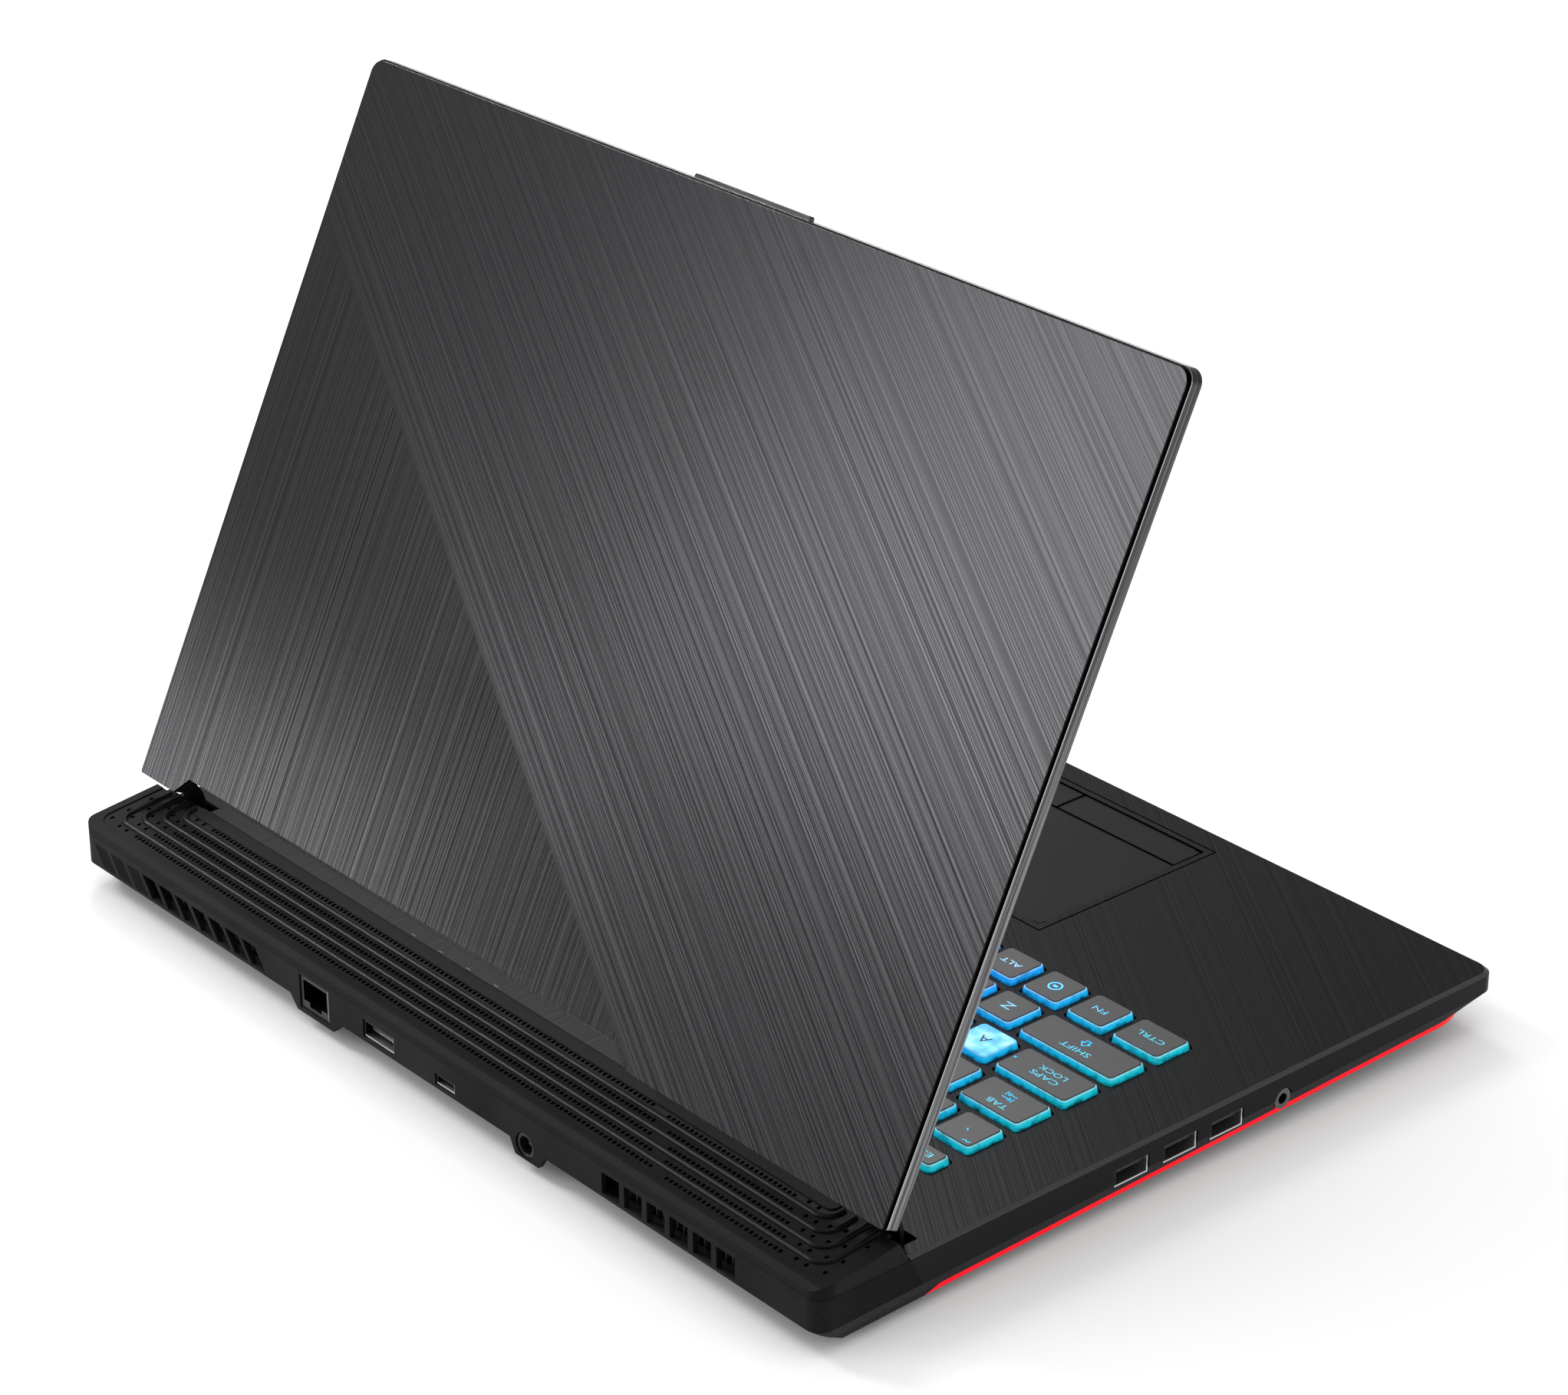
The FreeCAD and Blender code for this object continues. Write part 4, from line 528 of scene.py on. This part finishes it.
def lacqueredTop():
    # Silver-grey lacquer sprayed on the cap: satin with a very fine metallic fleck
    made, tree, shader = newMaterial("sprayedLacquerKeyTop", {"Metallic": 0.35, "IOR": 1.5})
    place = addNode(tree, "TexCoord")
    fleck = addNode(tree, "TexNoise", {"Vector": place.outputs["Object"], "Detail": 2,
                                       "Scale": 1 / (keyLook["fleck"] * mm)})
    colour = addNode(tree, "ValToRGB", {"Fac": fleck.outputs[0]}, stops=[(0.3, "#444446"), (0.7, "#555557")])
    tree.links.new(colour.outputs[0], shader.inputs["Base Color"])
    rough = addNode(tree, "MapRange", {"Value": fleck.outputs[0], "To Min": 0.36, "To Max": 0.5})
    tree.links.new(rough.outputs[0], shader.inputs["Roughness"])
    bump = addNode(tree, "Bump", {"Strength": 0.08, "Distance": 0.03 * mm, "Height": fleck.outputs[0]})
    tree.links.new(bump.outputs[0], shader.inputs["Normal"])
    return made


def frostedTop():
    # Unpainted frosted cap: the lamp under it shows as a bright soft patch with paler borders
    made, tree, shader = newMaterial("frostedPolycarbonateTop", {"Roughness": 0.3, "IOR": 1.58,
                                                                 "Emission Strength": 0.9})
    place = addNode(tree, "TexCoord")
    cloud = addNode(tree, "TexNoise", {"Vector": place.outputs["Object"], "Detail": 2,
                                       "Scale": 1 / (keyLook["cloud"] * mm)})
    hue = addNode(tree, "ValToRGB", {"Fac": cloud.outputs[0]},
                  stops=[(0.32, "#3aa6ea"), (0.5, "#6cc7f7"), (0.66, "#a5e2fd")])
    tree.links.new(hue.outputs[0], shader.inputs["Base Color"])
    tree.links.new(hue.outputs[0], shader.inputs["Emission Color"])
    return made


def litLegend():
    # Laser-cut lettering: the backlight shines through the lacquer
    made, tree, shader = newMaterial("laserCutLegend", {"Roughness": 0.4, "Emission Strength": 0.95})
    place = addNode(tree, "TexCoord")
    hue = sweepColour(tree, place.outputs["Object"], keyLook["legendSweep"])
    fade = addNode(tree, "TexNoise", {"Vector": place.outputs["Object"], "Scale": 1 / (keyLook["fade"] * mm)})
    tone = addNode(tree, "MapRange", {"Value": fade.outputs[0], "To Min": 0.15, "To Max": 0.0}).outputs[0]
    glow = addNode(tree, "Mix", {0: tone, 6: hue, 7: toLinear("#0a4c58")}, data_type="RGBA").outputs[2]
    tree.links.new(glow, shader.inputs["Base Color"])
    tree.links.new(glow, shader.inputs["Emission Color"])
    return made


def roundedRing(x0, x1, y0, y1, radius, z, steps=5):  # one closed ring of points, mm
    ring = []
    for cx, cy, first in ((x1 - radius, y1 - radius, 0), (x0 + radius, y1 - radius, 90),
                          (x0 + radius, y0 + radius, 180), (x1 - radius, y0 + radius, 270)):
        for i in range(steps + 1):
            a = math.radians(first + 90 * i / steps)
            ring.append((cx + radius * math.cos(a), cy + radius * math.sin(a), z))
    return ring


def loftRings(work, rings):  # skin between rings, with both ends closed
    rows = [[work.verts.new(Vector(p) * mm) for p in ring] for ring in rings]
    for low, high in zip(rows, rows[1:]):
        for i in range(len(low)):
            j = (i + 1) % len(low)
            work.faces.new((low[i], low[j], high[j], high[i])).smooth = True
    work.faces.new(list(reversed(rows[0])))
    work.faces.new(rows[-1])


def finishPiece(name, work, material, body):  # mesh to a piece that rides on a body
    mesh = bpy.data.meshes.new(name)
    work.to_mesh(mesh)
    work.free()
    mesh.materials.append(material)
    piece = bpy.data.objects.new(name, mesh)
    bpy.context.scene.collection.objects.link(piece)
    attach(piece, body)
    return piece


def solidBoxes(name):  # lowest and highest corner of each separate solid in a node, mm, left to right
    work = bmesh.new()
    work.from_mesh(nodes[name].data)
    bmesh.ops.remove_doubles(work, verts=work.verts, dist=0.001 * mm)
    left, boxes = set(work.verts), []
    while left:
        todo, seen = [left.pop()], []
        while todo:
            vert = todo.pop()
            seen.append(vert.co.copy())
            for edge in vert.link_edges:
                other = edge.other_vert(vert)
                if other in left:
                    left.remove(other)
                    todo.append(other)
        low = [min(c[i] for c in seen) / mm for i in range(3)]
        high = [max(c[i] for c in seen) / mm for i in range(3)]
        boxes.append((low, high))
    work.free()
    return sorted(boxes, key=lambda pair: pair[0][0])


def buildCaps(name):
    look = keyLook
    skirt, plate, frosted = bmesh.new(), bmesh.new(), bmesh.new()
    for i, (low, high) in enumerate(solidBoxes(name)):
        x0, x1, y0, y1, top = low[0], high[0], low[1], high[1], high[2]
        corner, flare = look["corner"], look["flare"]
        foot, shoulder = top - look["lowest"], top - look["plateThick"]
        rings = []
        for inset, z in ((0.35, foot), (0, foot + 0.3), (flare * 0.9, shoulder - 0.15),
                         (flare + 0.1, shoulder), (flare + 0.35, shoulder + 0.03)):
            rings.append(roundedRing(x0 + inset, x1 - inset, y0 + inset, y1 - inset, corner, z))
        loftRings(skirt, rings)
        lit = i in look["litCaps"].get(name, ())
        inset, round2, edge = flare + look["plateInset"], corner - 0.1, look["fillet"]
        rings = [roundedRing(x0 + inset, x1 - inset, y0 + inset, y1 - inset, round2, shoulder - 0.1)]
        for angle in (0, 30, 60, 90):  # the plate's rounded upper edge
            a = math.radians(angle)
            back = inset + edge * (1 - math.cos(a))
            rings.append(roundedRing(x0 + back, x1 - back, y0 + back, y1 - back, round2,
                                     top - edge + edge * math.sin(a)))
        loftRings(frosted if lit else plate, rings)
    body = bodyOf[name]
    made = finishPiece("skirt_" + name, skirt, skirtFinish, body)
    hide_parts(name)
    if len(plate.verts):
        finishPiece("top_" + name, plate, topFinish, body)
    if len(frosted.verts):
        finishPiece("litTop_" + name, frosted, frostedFinish, body)


def wordMesh(work, text, x, y, z, height, width):  # lettering fitted to a width and height, mm
    curve = bpy.data.curves.new("word", "FONT")
    curve.body = text
    curve.size = 1.0
    curve.resolution_u = 3
    carrier = bpy.data.objects.new("word", curve)
    bpy.context.scene.collection.objects.link(carrier)
    mesh = bpy.data.meshes.new_from_object(carrier.evaluated_get(bpy.context.evaluated_depsgraph_get()))
    bpy.data.objects.remove(carrier)
    bpy.data.curves.remove(curve)
    low = [min(v.co[i] for v in mesh.vertices) for i in range(2)]
    high = [max(v.co[i] for v in mesh.vertices) for i in range(2)]
    tall = (high[1] - low[1]) or 1
    wide = (high[0] - low[0]) or 1
    sx = width / wide if width else height / tall
    fit = Matrix.Diagonal((sx * mm, height / tall * mm, 1, 1))
    mesh.transform(Matrix.Translation((x * mm, y * mm, z * mm)) @ fit
                   @ Matrix.Translation((-(low[0] + high[0]) / 2, -(low[1] + high[1]) / 2, 0)))
    work.from_mesh(mesh)
    bpy.data.meshes.remove(mesh)


def thickenSheet(work, depth):  # lettering becomes as deep as the coat of ink, mm; drawn lines stay flat
    bmesh.ops.solidify(work, geom=work.faces[:], thickness=depth * mm)


def strokeMesh(work, points, x, y, z, width, closed=False):  # a flat line of even width, mm
    pairs = list(zip(points, points[1:] + points[:1] if closed else points[1:]))
    for start, end in pairs:
        a, b = Vector(start), Vector(end)
        way = (b - a).normalized()
        a, b = a - way * width / 2, b + way * width / 2
        side = Vector((-way.y, way.x)) * width / 2
        corners = [a - side, b - side, b + side, a + side]
        work.faces.new([work.verts.new(((c.x + x) * mm, (c.y + y) * mm, z * mm)) for c in corners])


legendLook = {
    "word": 2.2, "perLetter": 2.65,         # height of a word legend, width for each of its letters, mm
    "letter": (3.4, 4.1), "slimLetter": 0.7,     # height and width of a single letter
    "upperSign": 1.9, "upperAside": 4.2, "lowerSign": 2.9,
}
arrowUp = [(-1.7, -0.1), (0, 1.7), (1.7, -0.1), (0.8, -0.1), (0.8, -1.6), (-0.8, -1.6), (-0.8, -0.1)]
arrowHead = [(-0.9, 0.8), (-1.7, 0), (-0.9, -0.8)]
lowSigns = {  # heights in mm of signs that don't fill the letter's height
    "_": 0.18, "-": 0.35, "=": 1.3, "+": 1.4, ",": 0.9, ".": 0.5, "'": 0.9, "\"": 0.8, "^": 0.9, "*": 1.0,
    ":": 1.5,
}


def legendFor(work, mark, x, y, z):
    look = legendLook
    if mark in ("UP", "DOWN", "LEFT", "RIGHT"):
        turn = Matrix.Rotation(math.radians({"LEFT": 0, "DOWN": 90, "RIGHT": 180, "UP": -90}[mark]), 2)
        for line in (arrowHead, [(-1.5, 0), (1.7, 0)]):
            strokeMesh(work, [tuple(turn @ Vector(p)) for p in line], x, y, z, 0.36)
    elif mark == "TAB":
        wordMesh(work, "TAB", x, y + 3.2, z, look["word"], 7.8)
        for drop, way in ((-0.8, 1), (-2.9, -1)):
            strokeMesh(work, [(-2.0 * way, drop + 0.9), (-2.0 * way, drop - 0.9)], x, y, z, 0.3)
            strokeMesh(work, [(-1.3 * way, drop), (2.0 * way, drop)], x, y, z, 0.3)
            strokeMesh(work, [(-0.6 * way, drop + 0.7), (-1.3 * way, drop), (-0.6 * way, drop - 0.7)],
                       x, y, z, 0.3)
    elif mark == "SHIFT":
        wordMesh(work, "SHIFT", x - 0.2, y + 2.7, z, 2.3, 11.6)
        strokeMesh(work, arrowUp, x, y - 1.8, z, 0.34, closed=True)
    elif mark == "RING":
        ring = [(2.1 * math.cos(math.radians(a)), 2.1 * math.sin(math.radians(a))) for a in range(0, 360, 15)]
        strokeMesh(work, ring, x, y, z, 0.5, closed=True)
        strokeMesh(work, [(-0.35, 0), (0.35, 0)], x, y, z, 1.0)
    elif mark == "CAPS":
        wordMesh(work, "CAPS", x - 1.0, y + 1.9, z, look["word"], 10.8)
        wordMesh(work, "LOCK", x - 1.0, y - 1.7, z, look["word"], 10.8)
        strokeMesh(work, [(12.8, 0.1), (13.1, 0.1)], x, y, z, 0.7)
    elif mark == "~`":
        strokeMesh(work, [(-5.6, 4.6), (-4.8, 5.2), (-3.9, 4.7), (-3.1, 5.2)], x, y, z, 0.34)
        strokeMesh(work, [(-0.3, 0.6), (0.3, -0.1)], x, y, z, 0.4)
    elif len(mark) == 2 and mark[0] not in "FP":
        aside = look["upperAside"]
        wordMesh(work, mark[0], x - aside, y + aside, z, lowSigns.get(mark[0], look["upperSign"]), None)
        wordMesh(work, mark[1], x, y, z, lowSigns.get(mark[1], look["lowerSign"]), None)
    elif len(mark) == 1:
        tall, wide = look["letter"]
        wordMesh(work, mark, x, y, z, tall, look["slimLetter"] if mark == "I" else wide)
    else:
        wordMesh(work, mark, x, y, z, look["word"], look["perLetter"] * len(mark))


legends = {
    "key_ctrl": ["CTRL"], "key_fn": ["FN"], "key_system": ["RING"], "key_alt": ["ALT"], "key_space": [""],
    "bottom_right_keys": ["ALT", "CTRL", "LEFT", "DOWN", "RIGHT"],
    "key_shift": ["SHIFT"], "key_z": ["Z"],
    "lower_letter_keys": ["X", "C", "V", "B", "N", "M", "<,", ">.", "?/", "SHIFT", "UP", "END"],
    "key_caps_lock": ["CAPS"], "key_a": ["A"],
    "home_letter_keys": ["S", "D", "F", "G", "H", "J", "K", "L", ":;", "\"'", "ENTER", "PGDN"],
    "key_tab": ["TAB"],
    "upper_letter_keys": ["Q", "W", "E", "R", "T", "Y", "U", "I", "O", "P", "{[", "}]", "|\\", "PGUP"],
    "key_tilde": ["~`"],
    "number_keys": ["!1", "@2", "#3", "$4", "%5", "^6", "&7", "*8", "(9", ")0", "_-", "+=", "BACK", "HOME"],
    "key_escape": ["ESC"],
    "function_keys": ["F%d" % number for number in range(1, 13)] + ["PRT", "INS", "DEL"],
}

skirtFinish, topFinish, frostedFinish, legendFinish = clearSkirt(), lacqueredTop(), frostedTop(), litLegend()
# Pad-printed ink: a thin flat film, dull and nearly without relief
inkCoat = {"grain": 0.5, "roughness": 0.5, "relief": 0.05, "edge": 0.02}
darkLegend = mouldedPlastic("padPrintedBlackInk", "#0d1418", "#16242b", **inkCoat)
for name, marks in legends.items():
    buildCaps(name)
    glowing, printed = bmesh.new(), bmesh.new()
    for i, ((low, high), mark) in enumerate(zip(solidBoxes(name), marks)):
        if mark:
            sheet = printed if i in keyLook["litCaps"].get(name, ()) else glowing
            legendFor(sheet, mark, (low[0] + high[0]) / 2, (low[1] + high[1]) / 2,
                      high[2] + keyLook["legendRise"])
    for sheet, ink, tag in ((glowing, legendFinish, "legend_"), (printed, darkLegend, "printedLegend_")):
        if len(sheet.verts):
            thickenSheet(sheet, keyLook["legendRise"])
            finishPiece(tag + name, sheet, ink, bodyOf[name])
        else:
            sheet.free()
print("stage: keys,", len(legends), "groups")


# Small trim

trimLook = {"inset": 3.2, "arm": 2.4, "line": 0.3, "rise": 0.02}  # corner marks printed on the touchpad, mm


def touchpadMarks():
    low, high = (Vector(c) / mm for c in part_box("touchpad"))
    work = bmesh.new()
    inset, arm = trimLook["inset"], trimLook["arm"]
    for sx, x in ((1, low.x + inset), (-1, high.x - inset)):
        for sy, y in ((1, low.y + inset), (-1, high.y - inset)):
            strokeMesh(work, [(0, sy * arm), (0, 0), (sx * arm, 0)], x, y, high.z + trimLook["rise"],
                       trimLook["line"])
    thickenSheet(work, trimLook["rise"])
    ink = mouldedPlastic("padPrintedGreyInk", "#6c6c6e", "#828284", **inkCoat)
    finishPiece("touchpadMarks", work, ink, "base")


gapLook = {"reach": 0.15, "line": 0.55}  # painted shadow of the gap round the touchpad and its buttons, mm


def touchpadGaps():
    work = bmesh.new()
    for name in ("touchpad", "touchpad_button_left", "touchpad_button_right"):
        low, high = (Vector(c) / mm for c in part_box(name))
        reach = gapLook["reach"]
        x0, y0, x1, y1 = low.x - reach, low.y - reach, high.x + reach, high.y + reach
        strokeMesh(work, [(x0, y0), (x1, y0), (x1, y1), (x0, y1)], 0, 0, deckLook["top"] + trimLook["rise"],
                   gapLook["line"], closed=True)
    thickenSheet(work, trimLook["rise"])
    # Painted shadow: a black sheet over the gap takes all light, so that it reads as a black line
    dark = mouldedPlastic("blackFoamGasket", "#030303", "#060606", grain=0.5, roughness=0.8, relief=0.05,
                          edge=0.02)
    finishPiece("touchpadGaps", work, dark, "base")


contactLook = {"places": (-3.5, -1.0, 1.0, 3.5), "width": 1.1, "front": -178.1, "deep": 7.0, "tall": 1.3,
               "level": 12.3, "sunk": 0.12, "eased": 0.3}  # mm, and the share of the thinnest side eased


def boxMesh(work, low, high):  # a small bar with its edges eased, mm
    ease = min(high[i] - low[i] for i in range(3)) * contactLook["eased"]
    made = bmesh.ops.create_cube(work, size=1.0)["verts"]
    for vert in made:
        vert.co = [((low[i] + high[i]) / 2 + vert.co[i] * (high[i] - low[i])) * mm for i in range(3)]
    edges = list({edge for vert in made for edge in vert.link_edges})
    bmesh.ops.bevel(work, geom=edges, offset=ease * mm, segments=2, affect="EDGES")


def socketContacts():
    look = contactLook
    work = bmesh.new()
    for y in usbPlaces:
        for step in look["places"]:
            middle, half = y + step, look["width"] / 2
            boxMesh(work, (look["front"], middle - half, look["level"] - look["sunk"]),
                    (look["front"] + look["deep"], middle + half, look["level"] + look["tall"]))
    gold = platedMetal("flashGoldContact", "#6b4a22", "#8c6430", grain=0.4, roughness=0.4)
    finishPiece("socketContacts", work, gold, "base")


touchpadMarks()
touchpadGaps()
socketContacts()
print("stage: trim")


# Room, light and camera

floorLook = {"half": 40.0, "colour": "#b4b4b4", "lift": 0.68, "shadeReach": 0.25}  # lift takes it up to white
roomLook = {"fill": 0.36}


def paleFloor():
    # Matt white studio sweep: pale, with only a soft shadow under the object
    mesh = bpy.data.meshes.new("studioFloor")
    h = floorLook["half"]
    mesh.from_pydata([(-h, -h, 0), (h, -h, 0), (h, h, 0), (-h, h, 0)], [], [(0, 1, 2, 3)])
    floor = bpy.data.objects.new("studioFloor", mesh)
    bpy.context.scene.collection.objects.link(floor)
    made, tree, shader = newMaterial("mattWhitePaper", {"Base Color": toLinear(floorLook["colour"]),
                                                        "Roughness": 0.9, "Specular IOR Level": 0.1})
    ray = addNode(tree, "LightPath")
    seen = addNode(tree, "Math", {0: ray.outputs["Is Camera Ray"], 1: ray.outputs["Is Glossy Ray"]},
                   operation="MAXIMUM").outputs[0]
    seen = addNode(tree, "Math", {0: seen, 1: ray.outputs["Is Transmission Ray"]},
                   operation="MAXIMUM").outputs[0]
    shade = addNode(tree, "AmbientOcclusion", {"Distance": floorLook["shadeReach"]}, samples=8).outputs["AO"]
    shade = addNode(tree, "Math", {0: shade, 1: floorLook["lift"]}, operation="MULTIPLY").outputs[0]
    strength = addNode(tree, "Math", {0: seen, 1: shade}, operation="MULTIPLY").outputs[0]
    lift = addNode(tree, "Emission", {"Strength": strength})
    both = addNode(tree, "AddShader", {0: shader.outputs[0], 1: lift.outputs[0]})
    tree.links.new(both.outputs[0], tree.nodes["Material Output"].inputs["Surface"])
    floor.data.materials.append(made)


def paleRoom():
    world = bpy.data.worlds.new("studioRoom")
    bpy.context.scene.world = world
    world.use_nodes = True
    tree = world.node_tree
    back = tree.nodes["Background"]
    back.inputs["Color"].default_value = (1, 1, 1, 1)
    back.inputs["Strength"].default_value = roomLook["fill"]


def softBox(name, place, aim, width, height, power):
    lamp = bpy.data.lights.new(name, "AREA")
    lamp.shape = "RECTANGLE"
    lamp.size, lamp.size_y, lamp.energy = width, height, power
    box = bpy.data.objects.new(name, lamp)
    box.location = place
    box.rotation_euler = (Vector(aim) - Vector(place)).to_track_quat("-Z", "Y").to_euler()
    bpy.context.scene.collection.objects.link(box)


lamps = [  # name, place, aim, width, height, power: metres and watts
    ("rearSoftBox", (1.094, 1.731, 1.003), (0, 0, 0), 0.96, 0.96, 13),
    ("lowSoftBox", (1.684, 1.408, 0.15), (0, 0, 0.14), 0.29, 0.29, 1.6),
    ("ribSoftBox", (1.7, 0.75, 1.45), (0, 0.1, 0.02), 0.5, 0.5, 32),
    ("deckSoftBox", (1.38, -0.86, 1.47), (0, 0, 0), 0.6, 0.6, 17),
    ("topSoftBox", (-0.3, 0.1, 2.2), (0, 0, 0), 1.4, 1.0, 9),
    ("sideSoftBox", (-2.2, -0.6, 1.0), (0, 0, 0.05), 1.0, 0.8, 5),
]

photoCamera = {"place": (-0.8830, 0.7550, 0.6507), "aim": (0.10399, -0.09696, 0.0199), "roll": -0.07,
               "lens": 96.97, "sensor": 36.0, "clip": (0.05, 100)}


def photoView():
    data = bpy.data.cameras.new("photoCamera")
    data.lens, data.sensor_width = photoCamera["lens"], photoCamera["sensor"]
    data.clip_start, data.clip_end = photoCamera["clip"]
    camera = bpy.data.objects.new("photoCamera", data)
    way = Vector(photoCamera["aim"]) - Vector(photoCamera["place"])
    turn = way.to_track_quat("-Z", "Y").to_matrix().to_4x4()
    camera.matrix_world = (Matrix.Translation(photoCamera["place"]) @ turn
                           @ Matrix.Rotation(math.radians(photoCamera["roll"]), 4, "Z"))
    bpy.context.scene.collection.objects.link(camera)
    bpy.context.scene.camera = camera


paleFloor()
paleRoom()
for lamp in lamps:
    softBox(*lamp)
photoView()
bpy.context.scene.view_settings.view_transform = "Standard"
print("stage: room, light, camera")
